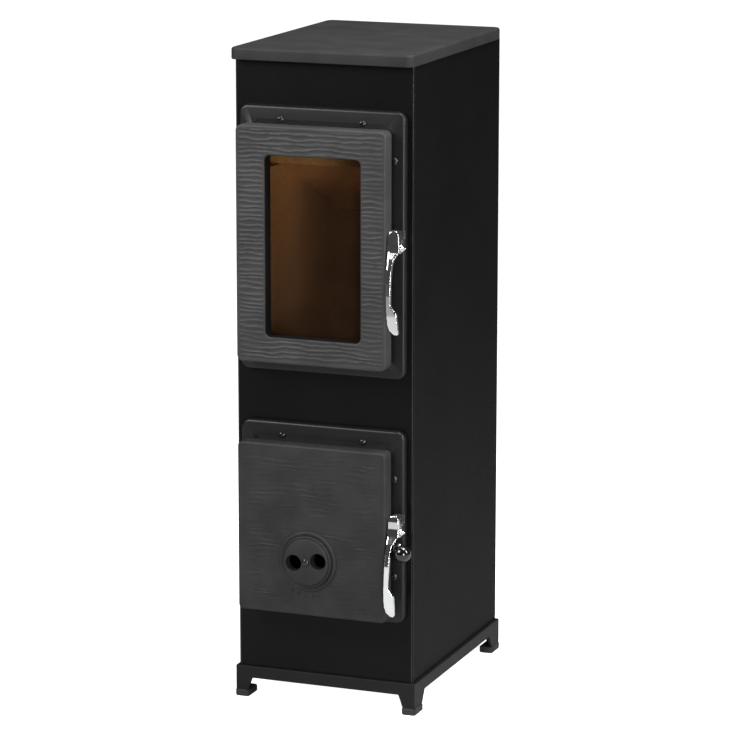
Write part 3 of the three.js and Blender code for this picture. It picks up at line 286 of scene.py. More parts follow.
castIron = grainedFinish("castIron", castLook)
frameCast = grainedFinish("frameCast", frameCastLook)
shoulderCast = grainedFinish("shoulderCast", shoulderCastLook)
shadedLowerCast = grainedFinish("shadedLowerCast", shadedLowerCastLook)
topCast = grainedFinish("topCast", topCastLook)
highlightCornerEnamel = grainedFinish("highlightCornerEnamel", highlightCornerLook)
shadeLinerAndRivetBlack = grainedFinish("shadeLinerAndRivetBlack", shadeLinerLook)
casingEnamel = grainedFinish("casingEnamel", enamelLook)
litSideEnamel = grainedFinish("litSideEnamel", litSideLook)
plinthBlack = grainedFinish("plinthBlack", plinthLook)
stovePlate = grainedFinish("stovePlate", plateLook)
chromePlate = grainedFinish("chromePlate", chromeLook)
blackScrew = grainedFinish("blackScrew", screwLook)
fireBoard = fireBoardFinish("fireBoard", boardLook)
litBaffleBoard = fireBoardFinish("litBaffleBoard", litBaffleLook)
amberGlass = glassFinish("amberGlass", glassLook)
sealRope = grainedFinish("sealRope", ropeLook)
footCapRubber = grainedFinish("footCapRubber", capLook)
knobBlack = grainedFinish("knobBlack", knobLook)
brightSteel = grainedFinish("brightSteel", steelLook)
finishOf = {
    "cast_grey": castIron, "casing_black": casingEnamel, "body_steel": stovePlate, "chrome": chromePlate,
    "screw_black": blackScrew, "fire_board": fireBoard, "glass_amber": amberGlass, "seal_rope": sealRope,
    "cap_dark": footCapRubber, "knob_black": knobBlack, "bright_steel": brightSteel,
}
print("finishes ready")


# How near two points are, in metres, to be joined: in the pieces made here, and in the CAD solids.
pieceWeld = 2e-6
solidWeld = 1e-5


# Joins points that meet and turns every face outwards; flat also joins faces that lie in one plane.
def cleanUp(mesh, distance, flat=False):
    shape = bmesh.new()
    shape.from_mesh(mesh)
    bmesh.ops.remove_doubles(shape, verts=shape.verts, dist=distance)
    if flat:
        bmesh.ops.dissolve_limit(
            shape, angle_limit=math.radians(1), use_dissolve_boundaries=False, verts=shape.verts,
            edges=shape.edges,
        )
    bmesh.ops.recalc_face_normals(shape, faces=shape.faces)
    shape.to_mesh(mesh)
    shape.free()


def showPiece(name, mesh, finish, sharp=32):
    mesh.materials.clear()
    mesh.materials.append(finish)
    mesh.shade_smooth()
    mesh.set_sharp_from_angle(angle=math.radians(sharp))
    piece = bpy.data.objects.new(name, mesh)
    bpy.context.scene.collection.objects.link(piece)
    return piece


def makePiece(name, points, faces, finish, sharp=32):
    mesh = bpy.data.meshes.new(name)
    mesh.from_pydata([tuple(point) for point in points], [], faces)
    cleanUp(mesh, pieceWeld)
    return showPiece(name, mesh, finish, sharp)


def bakeModifiers(piece):
    graph = bpy.context.evaluated_depsgraph_get()
    mesh = bpy.data.meshes.new_from_object(piece.evaluated_get(graph))
    piece.modifiers.clear()
    piece.data = mesh


# Puts a piece in the place of one CAD node, on the node's body.
def dress(piece, node):
    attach(piece, bodyOf[node])
    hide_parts(node)
    return piece


# Puts a piece beside what a CAD node has, on the same body.
def trim(piece, node):
    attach(piece, bodyOf[node])
    return piece


# A plain CAD solid with its flats cleaned up and its edges rounded.
def roundedNode(node, radius, finish=None, steps=2, sharp=35):
    mesh = frame["nodes"][node].data.copy()
    cleanUp(mesh, solidWeld, True)
    piece = showPiece("dressed_" + node, mesh, finish or finishOf[slotOf[node]], sharp)
    edge = piece.modifiers.new("edge", "BEVEL")
    edge.width = radius * mm
    edge.segments = steps
    edge.limit_method = "ANGLE"
    edge.angle_limit = math.radians(40)
    edge.harden_normals = True
    bakeModifiers(piece)
    return dress(piece, node)


# Points round a rectangle with rounded corners, always the same number in the same order.
def rimLoop(rect, radius, counts):
    x0, x1, z0, z1 = rect
    alongX, alongZ, arc = counts
    left, right, low, high = x0 + radius, x1 - radius, z0 + radius, z1 - radius
    corners = [(right, low), (right, high), (left, high), (left, low)]
    starts = [(left, z0), (x1, low), (right, z1), (x0, high)]
    ends = [(right, z0), (x1, high), (left, z1), (x0, low)]
    points = []
    for side in range(4):
        steps = alongX if side % 2 == 0 else alongZ
        for i in range(steps):
            share = i / steps
            points.append((
                starts[side][0] + (ends[side][0] - starts[side][0]) * share,
                starts[side][1] + (ends[side][1] - starts[side][1]) * share,
            ))
        for i in range(arc):
            angle = math.pi / 2 * (side - 1 + i / arc)
            points.append((
                corners[side][0] + radius * math.cos(angle),
                corners[side][1] + radius * math.sin(angle),
            ))
    return points


def inset(rect, amount):
    return (rect[0] + amount, rect[1] - amount, rect[2] + amount, rect[3] - amount)


# Faces between rows of points that each go once round; open rows get an end face at both ends.
def bandFaces(rows, count, closed=False):
    faces = []
    for row in range(rows if closed else rows - 1):
        first, second = row * count, (row + 1) % rows * count
        for i in range(count):
            j = (i + 1) % count
            faces.append((first + i, first + j, second + j, second + i))
    if not closed:
        faces.append(tuple(range(count)))
        faces.append(tuple(range((rows - 1) * count, rows * count)))
    return faces


# Skins a row of loops; each loop is (points, height or heights), and lay turns them into places.
def skinLoops(loops, lay, closed):
    points = []
    for flat, height in loops:
        for i, (u, v) in enumerate(flat):
            points.append(lay(u, v, height[i] if isinstance(height, list) else height))
    return points, bandFaces(len(loops), len(loops[0][0]), closed)


# Loops over the rounded edge of a rectangle's face, from its side up to its flat.
def edgeLoops(rect, corner, counts, edge, face, steps):
    loops = []
    for i in range(steps + 1):
        turn = math.pi / 2 * i / steps
        away = edge * (1 - math.cos(turn))
        loops.append((rimLoop(inset(rect, away), corner - away, counts), face - edge + edge * math.sin(turn)))
    return loops


def onFront(x, z, stand):
    return at(x, stand, z)


def onTop(x, y, z):
    return Vector((midX + x * mm, y * mm, z * mm))


# A turned piece: profile points are (distance along the axis, radius).
def turned(name, profile, middle, axis, finish, sides=32, closed=False, sharp=32):
    x, stand, z = middle
    points = []
    for along, radius in profile:
        for i in range(sides):
            angle = 2 * math.pi * i / sides
            a, b = radius * math.cos(angle), radius * math.sin(angle)
            if axis == "stand":
                points.append(at(x + a, stand + along, z + b))
            elif axis == "x":
                points.append(at(x + along, stand + a, z + b))
            else:
                points.append(at(x + a, stand + b, z + along))
    return makePiece(name, points, bandFaces(len(profile), sides, closed), finish, sharp)


# An upright piece: one outline of (x, stand), from one height to another.
def uprightPiece(name, outline, low, high, finish):
    points = [at(x, stand, z) for z in (low, high) for x, stand in outline]
    return makePiece(name, points, bandFaces(2, len(outline)), finish)


# A round bar bent along a path of points.
def bentBar(name, path, radius, finish, sides=6):
    curve = bpy.data.curves.new(name, "CURVE")
    curve.dimensions = "3D"
    curve.bevel_depth = radius * mm
    curve.bevel_resolution = sides
    curve.use_fill_caps = True
    curve.resolution_u = 10
    spline = curve.splines.new("BEZIER")
    spline.bezier_points.add(len(path) - 1)
    for point, place in zip(spline.bezier_points, path):
        point.co = place
        point.handle_left_type = "AUTO"
        point.handle_right_type = "AUTO"
    holder = bpy.data.objects.new(name + "Path", curve)
    bpy.context.scene.collection.objects.link(holder)
    graph = bpy.context.evaluated_depsgraph_get()
    mesh = bpy.data.meshes.new_from_object(holder.evaluated_get(graph))
    bpy.data.objects.remove(holder)
    bpy.data.curves.remove(curve)
    return showPiece(name, mesh, finish, 40)


# Cuts closed cutters out of a closed piece.
def carve(piece, cutters):
    for cutter in cutters:
        slot = piece.modifiers.new("carve", "BOOLEAN")
        slot.operation = "DIFFERENCE"
        slot.object = cutter
        slot.solver = "MANIFOLD"
    bakeModifiers(piece)
    for cutter in cutters:
        bpy.data.objects.remove(cutter)
    piece.data.set_sharp_from_angle(angle=math.radians(32))
    return piece


# The top plate: a plain cast slab with a rounded upper edge.
topLook = {
    "corner": 13, "edge": 4, "edgeSteps": 5, "underEdge": 1, "underInset": 8, "flatInset": 3,
    "rimSteps": (12, 16, 10),
}


def buildTopPlate(look):
    span = spanOf("top_plate")
    rect = (span["x0"], span["x1"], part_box("top_plate")[0].y / mm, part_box("top_plate")[1].y / mm)
    low, high = span["z0"], span["z1"]
    under, edge, corner = look["underEdge"], look["edge"], look["corner"]

    def loopAt(away, height):
        return rimLoop(inset(rect, away), corner - away, look["rimSteps"]), height

    loops = [loopAt(look["underInset"], low), loopAt(under, low), loopAt(0, low + under)]
    loops += edgeLoops(rect, corner, look["rimSteps"], edge, high, look["edgeSteps"])
    loops.append(loopAt(edge + look["flatInset"], high))
    points, faces = skinLoops(loops, onTop, False)
    dress(makePiece("castTopPlate", points, faces, topCast), "top_plate")


buildTopPlate(topLook)

# Casing, base and inner pieces: the radius of each one's rounded edges.
softEdges = {
    "front_panel": 0.5, "left_panel": 0.9, "right_panel": 0.9, "rear_panel": 0.5, "base_frame": 1.0,
    "base_plate": 0.4, "front_left_foot_cap": 1.2, "front_right_foot_cap": 1.2, "rear_left_foot_cap": 1.2,
    "rear_right_foot_cap": 1.2, "firebox_body": 0.8, "left_brick": 2.2, "right_brick": 2.2, "back_brick": 2.2,
    "left_board": 2.4, "right_board": 2.4, "back_board": 2.4, "front_brick": 1.5, "rear_baffle": 2.0,
    "front_baffle": 2.0, "grate_frame": 1.0, "riddling_grate": 1.0, "ember_fence": 1.2, "ash_pan": 0.5,
    "left_glass_clip": 0.4, "right_glass_clip": 0.4, "upper_keeper": 0.5, "lower_keeper": 0.5,
    "window_gasket": 0.3, "window_glass": 0.6,
}
# The side panels wear the lighter copy of the enamel and the baffles the lit copy of the fire board, both
# painted light.
ownFinish = {
    "base_frame": plinthBlack, "front_baffle": litBaffleBoard, "rear_baffle": litBaffleBoard,
    "left_panel": litSideEnamel, "right_panel": litSideEnamel,
}
for node, radius in softEdges.items():
    roundedNode(node, radius, ownFinish.get(node))


# The folded corner of the casing: a rounded strip over each side panel's front edge, in an enamel lighter and
# glossier than the casing's as a painted highlight along the edge.
cornerStrip = {"radius": 2.4, "proud": 0.12, "sunk": 0.6, "steps": 8, "endGap": 0.2}


def buildCorner(node, side, look):
    span = spanOf(node)
    x = span["x1"] if side > 0 else span["x0"]
    radius, proud, steps = look["radius"], look["proud"], look["steps"]
    centreX, centreStand, reach = x - side * radius, span["front"] - radius, radius + proud
    outline = [(centreX, span["front"] - look["sunk"]), (centreX, centreStand + reach)]
    for i in range(1, steps):
        turn = math.pi / 2 * (1 - i / steps)
        outline.append((centreX + side * reach * math.cos(turn), centreStand + reach * math.sin(turn)))
    outline += [(x + side * proud, centreStand), (x - side * look["sunk"], centreStand)]
    low, high = span["z0"] + look["endGap"], span["z1"] - look["endGap"]
    trim(uprightPiece(node + "Corner", outline, low, high, highlightCornerEnamel), node)


buildCorner("left_panel", -1, cornerStrip)
buildCorner("right_panel", 1, cornerStrip)

# A rivet low on the right side panel, its profile from the sheet outwards.
rivetLook = {"stand": -57, "z": 64, "profile": [(-0.5, 2.4), (0.1, 2.4), (0.5, 1.9), (0.7, 0.9)]}
rivetPlace = [spanOf("right_panel")["x1"], rivetLook["stand"], rivetLook["z"]]
trim(turned("sideRivet", rivetLook["profile"], rivetPlace, "x", shadeLinerAndRivetBlack, 20), "right_panel")
print("casing and inner pieces ready")

# The flue collar: a pipe with a flange that four bolts hold to the inner body.
flueLook = {
    "bore": 56, "pipe": 60, "lip": 1.5, "soft": 0.4, "flange": 79, "flangeThick": 5, "fillet": 2,
    "seatGap": 0.3, "boltCircle": 69.5, "boltRadius": 6.5, "boltHeight": 5, "boltSunk": 0.5,
}


def buildFlueCollar(look):
    x, _, z = middleOf("flue_collar")
    rear = spanOf("flue_collar")["rear"]
    front = (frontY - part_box("firebox_body")[1].y) / mm - look["seatGap"]
    back = front - look["flangeThick"]
    bore, pipe, flange = look["bore"], look["pipe"], look["flange"]
    lip, soft, fillet = look["lip"], look["soft"], look["fillet"]
    profile = [
        (front, bore), (rear + lip, bore), (rear + soft, bore + 0.5), (rear, bore + lip), (rear, pipe - lip),
        (rear + soft, pipe - soft), (rear + lip, pipe), (back - fillet, pipe), (back, pipe + fillet),
        (back, flange - 1), (back + 1, flange), (front, flange),
    ]
    dress(turned("flueCollar", profile, [x, 0, z], "stand", castIron, 72, True), "flue_collar")
    base, radius = back + look["boltSunk"], look["boltRadius"]
    crown = base - look["boltHeight"]
    head = [(base, radius), (crown + 1, radius), (crown, radius - 1)]
    for i in range(4):
        angle = math.pi / 4 + math.pi / 2 * i
        place = [x + look["boltCircle"] * math.cos(angle), 0, z + look["boltCircle"] * math.sin(angle)]
        trim(turned("flueBolt%d" % (i + 1), head, place, "stand", blackScrew, 6), "flue_collar")


buildFlueCollar(flueLook)

# Door frames: a cast flange with a raised collar round the doorway, and a spigot into the casing.
frameLook = {
    "halfWidth": 139.5, "corner": 15, "edge": 4.5, "edgeSteps": 5, "rearEdge": 0.6, "thick": 12, "rear": 0.3,
    "fillet": (2, 1.5), "collarInset": 12, "collarStand": 19.15, "collarEdge": 0.5, "doorwayInset": 17,
    "spigotInset": 13, "spigotRear": -5, "rimSteps": (40, 60, 12),
}
hingeLook = {
    "x": -133, "stand": 20, "fromEnd": 37, "height": 28, "radius": 6, "pinHole": 3.2, "edge": 0.6,
    "knuckleHeight": 14, "gap": 0.5, "webShare": 0.96, "webSunk": 0.5, "webShort": 1.5, "webEndGap": 0.3,
    "notchGap": 1, "notchHeight": 34.5,
    "blockX": (-131.5, -122), "blockStand": (19.3, 28), "blockZ": (14.7, 28.2),
}
doorSides = (-132, 120)
doorCorners = {"upper": 10, "lower": 8}
doorRects = {}
for storey in ("upper", "lower"):
    doorSpan = spanOf(storey + "_door")
    doorRects[storey] = (*doorSides, doorSpan["z0"], doorSpan["z1"])


def buildFrame(storey, look):
    node = storey + "_frame"
    span = spanOf(node)
    outer = (-look["halfWidth"], look["halfWidth"], span["z0"], span["z1"])
    door, corner, counts = doorRects[storey], doorCorners[storey], look["rimSteps"]
    rear, thick, rearEdge = look["rear"], look["thick"], look["rearEdge"]
    loops = [
        (rimLoop(inset(outer, rearEdge), look["corner"] - rearEdge, counts), rear),
        (rimLoop(outer, look["corner"], counts), rear + rearEdge),
    ]
    loops += edgeLoops(outer, look["corner"], counts, look["edge"], thick, look["edgeSteps"])
    collar, doorway, spigot = look["collarInset"], look["doorwayInset"], look["spigotInset"]
    top, soft, depth = look["collarStand"], look["collarEdge"], look["spigotRear"]
    for away, stand in (
        (collar - look["fillet"][0], thick), (collar, thick + look["fillet"][1]), (collar, top - soft),
        (collar + soft, top), (doorway - soft, top), (doorway, top - soft), (doorway, depth), (spigot, depth),
        (spigot, rear),
    ):
        loops.append((rimLoop(inset(door, away), corner, counts), stand))
    points, faces = skinLoops(loops, onFront, True)
    dress(makePiece(storey + "DoorFrame", points, faces, frameCast), node)
    for i, low in enumerate(hingeLows(storey)):
        name = storey + "FrameKnuckle%d" % (i + 1)
        knuckle(name, low, node, frameCast, hingeLook)
        knuckleWeb(name + "Web", low, node, hingeLook)


# The lower ends of a door's two hinges.
def hingeLows(storey):
    door = doorRects[storey]
    fromEnd = hingeLook["fromEnd"]
    return (door[2] + fromEnd, door[3] - fromEnd - hingeLook["height"])


def knuckle(name, low, node, finish, look):
    high = low + look["knuckleHeight"]
    radius, hole, edge = look["radius"], look["pinHole"], look["edge"]
    profile = [
        (low, hole), (low, radius - edge), (low + edge, radius), (high - edge, radius), (high, radius - edge),
        (high, hole),
    ]
    trim(turned(name, profile, [look["x"], look["stand"], 0], "z", finish, 28, True), node)


# The web that joins a knuckle to its frame's flange.
def knuckleWeb(name, low, node, look):
    x, half = look["x"], look["radius"] * look["webShare"]
    rear, front = frameLook["thick"] - look["webSunk"], look["stand"] - look["webShort"]
    outline = [(x - half, rear), (x + half, rear), (x + half, front), (x - half, front)]
    high, gap = low + look["knuckleHeight"], look["webEndGap"]
    trim(uprightPiece(name, outline, low + gap, high - gap, frameCast), node)


shoulderLook = {
    "halfWidth": 112, "rear": 11, "root": 11.4, "flat": 12, "stand": 18.4, "rise": 6.5, "lip": 1.5, "drop": 4,
    "end": 6, "endSteps": 8, "endHeight": 0.03, "slots": 9, "slotWidth": 2.6, "slotLip": 0.7, "slotPitch": 22,
    "slotFloor": 15.8, "slotMiddle": -6, "plainStep": 60,
}


# The shoulder's section is swept along x; notches lower it at the air slots.
def buildShoulder(storey, look):
    half = look["halfWidth"]
    ends = []
    for i in range(look["endSteps"] + 1):
        turn = math.pi / 2 * i / look["endSteps"]
        ends.append((half - look["end"] * (1 - math.cos(turn)), math.sin(turn) or look["endHeight"]))
    stations = [(-x, full, False) for x, full in ends]
    if storey == "upper":
        wide, lip = look["slotWidth"] / 2, look["slotLip"]
        for i in range(look["slots"]):
            x = look["slotMiddle"] + (i - (look["slots"] - 1) / 2) * look["slotPitch"]
            stations += [(x - wide - lip, 1, False), (x - wide, 1, True), (x + wide, 1, True)]
            stations.append((x + wide + lip, 1, False))
    else:
        reach = half - look["plainStep"]
        stations += [(-reach, 1, False), (0, 1, False), (reach, 1, False)]
    stations += [(x, full, False) for x, full in reversed(ends)]
    top = doorRects[storey][3]
    low, bend = top - look["drop"], top - look["lip"]
    rear, root, flat = look["rear"], look["root"], look["flat"]
    points = []
    for x, full, notched in stations:
        front = root + (look["stand"] - root) * full
        rise = bend + (look["rise"] + look["lip"]) * full
        section = [
            (rear, low), (front, low), (front, bend - 1), (front - 0.6, bend + 0.2),
            ((front + flat) / 2, (bend + rise) / 2), (flat + 0.3, rise - 0.4), (rear, rise + 1.2),
        ]
        for stand, z in section:
            points.append(at(x, min(stand, look["slotFloor"]) if notched else stand, z))
    faces = bandFaces(len(stations), len(section))
    trim(makePiece(storey + "FrameShoulder", points, faces, shoulderCast, 40), storey + "_frame")


for storey in ("upper", "lower"):
    buildFrame(storey, frameLook)
    buildShoulder(storey, shoulderLook)
print("door frames ready")

# Doors: "groove" is the rope's groove behind (from, to, its floor), all from the door's outer edge.
doorLook = {
    "rear": 19, "face": 46, "plate": 8, "edge": 3.2, "edgeSteps": 5, "sideStand": 34, "rearEdge": 0.8,
    "groove": (10, 19, 28), "rim": 20, "innerCorner": 6, "skinSunk": 0.2, "upperSteps": (150, 236, 8),
    "lowerSteps": (150, 160, 7),
}
windowLook = {
    "margins": (49, 42, 42, 46), "corner": 9, "bevel": 2.2, "wall": 8, "wallCorner": 11, "rear": 21.3,
    "faceRows": 30, "calm": (1.2, 3), "shadeLinerSunk": 0.4, "shadeLinerThick": 0.7, "shadeLinerShort": 1.9, "shadeLinerGap": 0.3,
}
upperRipple = {
    "pitch": 7.7, "height": 1.6, "sharpness": 2.4, "warp": 0.46, "steady": 0.75, "patch": 0.5, "fade": 5,
    "seed": 3.1,
}
lowerRipple = {
    "pitch": 7.9, "height": 1.0, "sharpness": 2.2, "warp": 0.55, "steady": 0.35, "patch": 1.1, "fade": 22,
    "seed": 12.7,
}
rippleGrain = {"bend": (64, 22), "wobble": (21, 8), "patch": (30, 12), "fine": (9, 2.6)}


def wander(x, z, grain, seed):
    return noise.noise(Vector((x / rippleGrain[grain][0], z / rippleGrain[grain][1], seed)))


# Height of the cast ripples in millimetres: crests run across, bend and now and then fork.
def rippleHeight(x, z, look):
    seed = look["seed"]
    bend = wander(x, z, "bend", seed) * look["warp"] * 1.3
    bend += wander(x, z, "wobble", seed + 4) * look["warp"] * 0.62
    crest = (0.5 + 0.5 * math.cos(2 * math.pi * (z / look["pitch"] + bend))) ** look["sharpness"]
    strength = look["steady"] + look["patch"] * wander(x, z, "patch", seed + 9)
    fine = wander(x, z, "fine", seed + 2) * 0.16
    return look["height"] * (min(max(strength, 0.05), 1) * (crest - 0.5) + fine * 0.6)


def fading(x, z, rect, distance):
    gap = min(x - rect[0], rect[1] - x, z - rect[2], rect[3] - z)
    share = min(max(gap / distance, 0), 1)
    return share * share * (3 - 2 * share)


def hingeCutters(storey, look):
    cutters = []
    for low in hingeLows(storey):
        reach = look["radius"] + look["notchGap"]
        profile = [(low - look["notchGap"], reach), (low - look["notchGap"] + look["notchHeight"], reach)]
        cutters.append(turned("hingeNotch", profile, [look["x"], look["stand"], 0], "z", castIron, 28))
    return cutters


# A door's knuckles stand on the frame's, each with a block that joins it to the door.
def doorKnuckles(storey, look):
    node = storey + "_door"
    left, right = look["blockX"]
    rear, front = look["blockStand"]
    outline = [(left, rear), (right, rear), (right, front), (left, front)]
    for i, low in enumerate(hingeLows(storey)):
        name = storey + "DoorKnuckle"
        knuckle(name + str(i + 1), low + look["knuckleHeight"] + look["gap"], node, castIron, look)
        bottom, top = (low + height for height in look["blockZ"])
        trim(uprightPiece(name + "Block%d" % (i + 1), outline, bottom, top, castIron), node)


# The loops of a door from its face's outer edge, round its side and rear, to the plate behind.
def doorBackLoops(door, corner, counts, look):
    face, rear, rim = look["face"], look["rear"], look["rim"]
    loops = edgeLoops(door, corner, counts, look["edge"], face, look["edgeSteps"])[::-1]
    first, second, depth = look["groove"]
    for away, stand in (
        (0, look["sideStand"]), (0, rear + look["rearEdge"]), (look["rearEdge"], rear), (first, rear),
        (first, depth), (second, depth), (second, rear), (rim, rear), (rim, face - look["plate"]),
    ):
        radius = max(corner - away, look["innerCorner"] if away else corner)
        loops.append((rimLoop(inset(door, away), radius, counts), stand))
    return loops


def buildUpperDoor(look, pane, ripple):
    door, corner, counts = doorRects["upper"], doorCorners["upper"], look["upperSteps"]
    left, right, foot, head = pane["margins"]
    window = (door[0] + left, door[1] - right, door[2] + foot, door[3] - head)
    face, edge, bend, rear = look["face"], look["edge"], pane["corner"], pane["rear"]
    inner, outer = inset(window, -pane["bevel"]), inset(door, edge)
    calmFrom, calmOver = pane["calm"]
    faceLoops = []
    for i in range(pane["faceRows"] + 1):
        share = i / pane["faceRows"]
        rect = tuple(a + (b - a) * share for a, b in zip(inner, outer))
        flat = rimLoop(rect, bend + (corner - edge - bend) * share, counts)
        heights = []
        for x, z in flat:
            outside = max(window[0] - x, x - window[1], window[2] - z, z - window[3])
            calm = fading(x, z, outer, ripple["fade"]) * min(max((outside - calmFrom) / calmOver, 0), 1)
            heights.append(face - look["skinSunk"] + rippleHeight(x, z, ripple) * calm)
        faceLoops.append((flat, heights))

    def loopAt(away, stand, radius):
        return rimLoop(inset(window, away), radius, counts), stand

    reveal = [
        loopAt(0, rear, bend), loopAt(0, face - 2.4, bend), loopAt(-0.35, face - 1.2, bend),
        loopAt(-1.1, face - 0.45, bend + 0.2),
    ]
    back = doorBackLoops(door, corner, counts, look)[1:]
    wall, wallCorner = pane["wall"], pane["wallCorner"]
    recess = [loopAt(-wall, face - look["plate"], wallCorner), loopAt(-wall, rear, wallCorner)]
    points, faces = skinLoops(reveal + faceLoops + back + recess, onFront, True)
    piece = makePiece("upperCastDoor", points, faces, castIron)
    carve(piece, hingeCutters("upper", hingeLook))
    dress(piece, "upper_door")
    doorKnuckles("upper", hingeLook)
    # A near-black sheet lines the window's reveal: painted shade in the recess.
    outside = -pane["shadeLinerSunk"]
    inside = outside + pane["shadeLinerThick"]
    low, top = rear + pane["shadeLinerGap"], face - pane["shadeLinerShort"]
    liner = [
        loopAt(outside, low, bend - outside), loopAt(outside, top, bend - outside),
        loopAt(inside, top - pane["shadeLinerThick"], bend - inside), loopAt(inside, low, bend - inside),
    ]
    points, faces = skinLoops(liner, onFront, True)
    trim(makePiece("windowShadeLiner", points, faces, shadeLinerAndRivetBlack), "upper_door")


# The lower door's face is a grid, joined to the loops of its edge and back.
def buildLowerDoor(look, ripple, disc):
    door, corner, counts = doorRects["lower"], doorCorners["lower"], look["lowerSteps"]
    face, edge = look["face"], look["edge"]
    gridInset, discFade = 10, 4
    field = inset(door, gridInset)

    def standAt(x, z):
        fade = fading(x, z, inset(door, edge), ripple["fade"])
        reach = math.hypot(x - disc["x"], z - disc["z"]) - disc["boss"]
        return face - look["skinSunk"] + rippleHeight(x, z, ripple) * fade * min(max(reach / discFade, 0), 1)

    loops = []
    for away in (gridInset, 8.5, 7, 5.5, 4.3):
        share = (away - edge) / (gridInset - edge)
        flat = rimLoop(inset(door, away), (corner - edge) * (1 - share), counts)
        loops.append((flat, [standAt(x, z) for x, z in flat]))
    loops += doorBackLoops(door, corner, counts, look)
    points, faces = skinLoops(loops, onFront, False)
    faces.pop(-2)
    start = len(points)
    alongX, alongZ = counts[0], counts[1]
    for row in range(alongZ + 1):
        z = field[2] + (field[3] - field[2]) * row / alongZ
        for column in range(alongX + 1):
            x = field[0] + (field[1] - field[0]) * column / alongX
            points.append(at(x, standAt(x, z), z))
    for row in range(alongZ):
        for column in range(alongX):
            near = start + row * (alongX + 1) + column
            faces.append((near, near + 1, near + alongX + 2, near + alongX + 1))
    # The lower door wears the darker copy of the cast iron, which is painted shade.
    piece = makePiece("lowerCastDoor", points, faces, shadedLowerCast)
    cutters = hingeCutters("lower", hingeLook)
    cutters += discHoles(disc, "airHole", [(36, disc["hole"]), (50, disc["hole"])])
    carve(piece, cutters)
    dress(piece, "lower_door")
    doorKnuckles("lower", hingeLook)


discLook = {
    "x": -12, "z": 250, "radius": 42, "face": 37.4, "boss": 49, "hole": 13.3, "holeOffset": 21, "lean": 7.5,
    "rivetShank": 3.6, "markAngles": (-118, -106, -94, -82, -70), "markReach": 7, "markStand": 46,
    "markLength": 6, "markRadius": 1.7, "markTurn": 0.35,
}


# The two air holes lie on a line that leans a little, its right end up.
def discHoles(disc, name, profile):
    lean = math.radians(disc["lean"])
    cutters = []
    for side in (-1, 1):
        x = disc["x"] + side * disc["holeOffset"] * math.cos(lean)
        z = disc["z"] + side * disc["holeOffset"] * math.sin(lean)
        cutters.append(turned(name, profile, [x, 0, z], "stand", shadedLowerCast, 40))
    return cutters


# The air disc, the round boss that it turns on, and its rivet.
def buildAirDisc(look):
    outer, middle, hole = look["boss"], [look["x"], 0, look["z"]], look["hole"]
    step = [
        (44.6, outer), (46.6, outer), (48, outer - 0.6), (49, outer - 1.8), (49.2, outer - 3),
        (48.9, outer - 4.3), (48.3, outer - 5.4), (48.2, outer - 6.4),
    ]
    boss = turned("airDiscBoss", step, middle, "stand", shadedLowerCast, 96)
    trim(carve(boss, discHoles(look, "bossHole", [(44, hole), (50, hole)])), "lower_door")
    span = spanOf("air_disc")
    rear, front = span["rear"], span["front"]
    rim, face = look["radius"], look["face"]
    profile = [
        (rear, rim - 0.8), (rear + 0.8, rim), (rear + 2, rim), (rear + 3.1, rim - 0.6), (rear + 3.6, rim - 1.5),
        (rear + 3.4, rim - 2.5), (rear + 2.8, rim - 3.1), (rear + 2.9, face + 0.9), (front - 1.4, face + 0.6),
        (front - 0.5, face + 0.1), (front, face - 0.8),
    ]
    disc = turned("airDisc", profile, middle, "stand", shadedLowerCast, 96)
    chamfer = [(rear - 1, hole), (front - 0.8, hole), (front - 0.2, hole + 0.5), (front + 0.5, hole + 1.2)]
    dress(carve(disc, discHoles(look, "discHole", chamfer)), "air_disc")
    span = spanOf("air_disc_rivet")
    tip, shank = span["front"], look["rivetShank"]
    rivet = [
        (span["rear"], shank), (tip - 3, shank), (tip - 3, 6), (tip - 2.2, 5.9), (tip - 1.2, 5.1),
        (tip - 0.4, 3.4), (tip, 1.2),
    ]
    dress(turned("airDiscRivet", rivet, middle, "stand", blackScrew, 32), "air_disc_rivet")


# The raised marks under the disc: short pips with blunt ends, each turned a little.
def buildMarks(look):
    rows, sides = 7, 10
    reach = look["boss"] + look["markReach"]
    for number, degrees in enumerate(look["markAngles"]):
        angle = math.radians(degrees)
        x, z = look["x"] + reach * math.cos(angle), look["z"] + reach * math.sin(angle)
        ahead, aside = math.cos(angle + look["markTurn"]), math.sin(angle + look["markTurn"])
        points = []
        for row in range(rows):
            share = row / (rows - 1) * 2 - 1
            radius = look["markRadius"] * math.sqrt(max(1 - share ** 4, 0.02))
            along = share * look["markLength"] / 2
            for k in range(sides):
                turn = 2 * math.pi * k / sides
                across, up = radius * math.cos(turn), radius * math.sin(turn)
                right, high = along * ahead - across * aside, along * aside + across * ahead
                points.append(at(x + right, look["markStand"] + up, z + high))
        mark = makePiece("airMark%d" % (number + 1), points, bandFaces(rows, sides), shadedLowerCast, 60)
        trim(mark, "lower_door")


buildUpperDoor(doorLook, windowLook, upperRipple)
buildLowerDoor(doorLook, lowerRipple, discLook)
buildAirDisc(discLook)
buildMarks(discLook)
print("doors and air disc ready")

# Door ropes: two strands twisted, pressed flat on their front side.
ropeDetail = {
    "radius": 4.05, "sides": 12, "twist": 7, "swell": 0.055, "inset": 14.5, "corner": 6, "stand": 23.5,
    "flat": 4.1, "steps": (150, 220, 8),
}


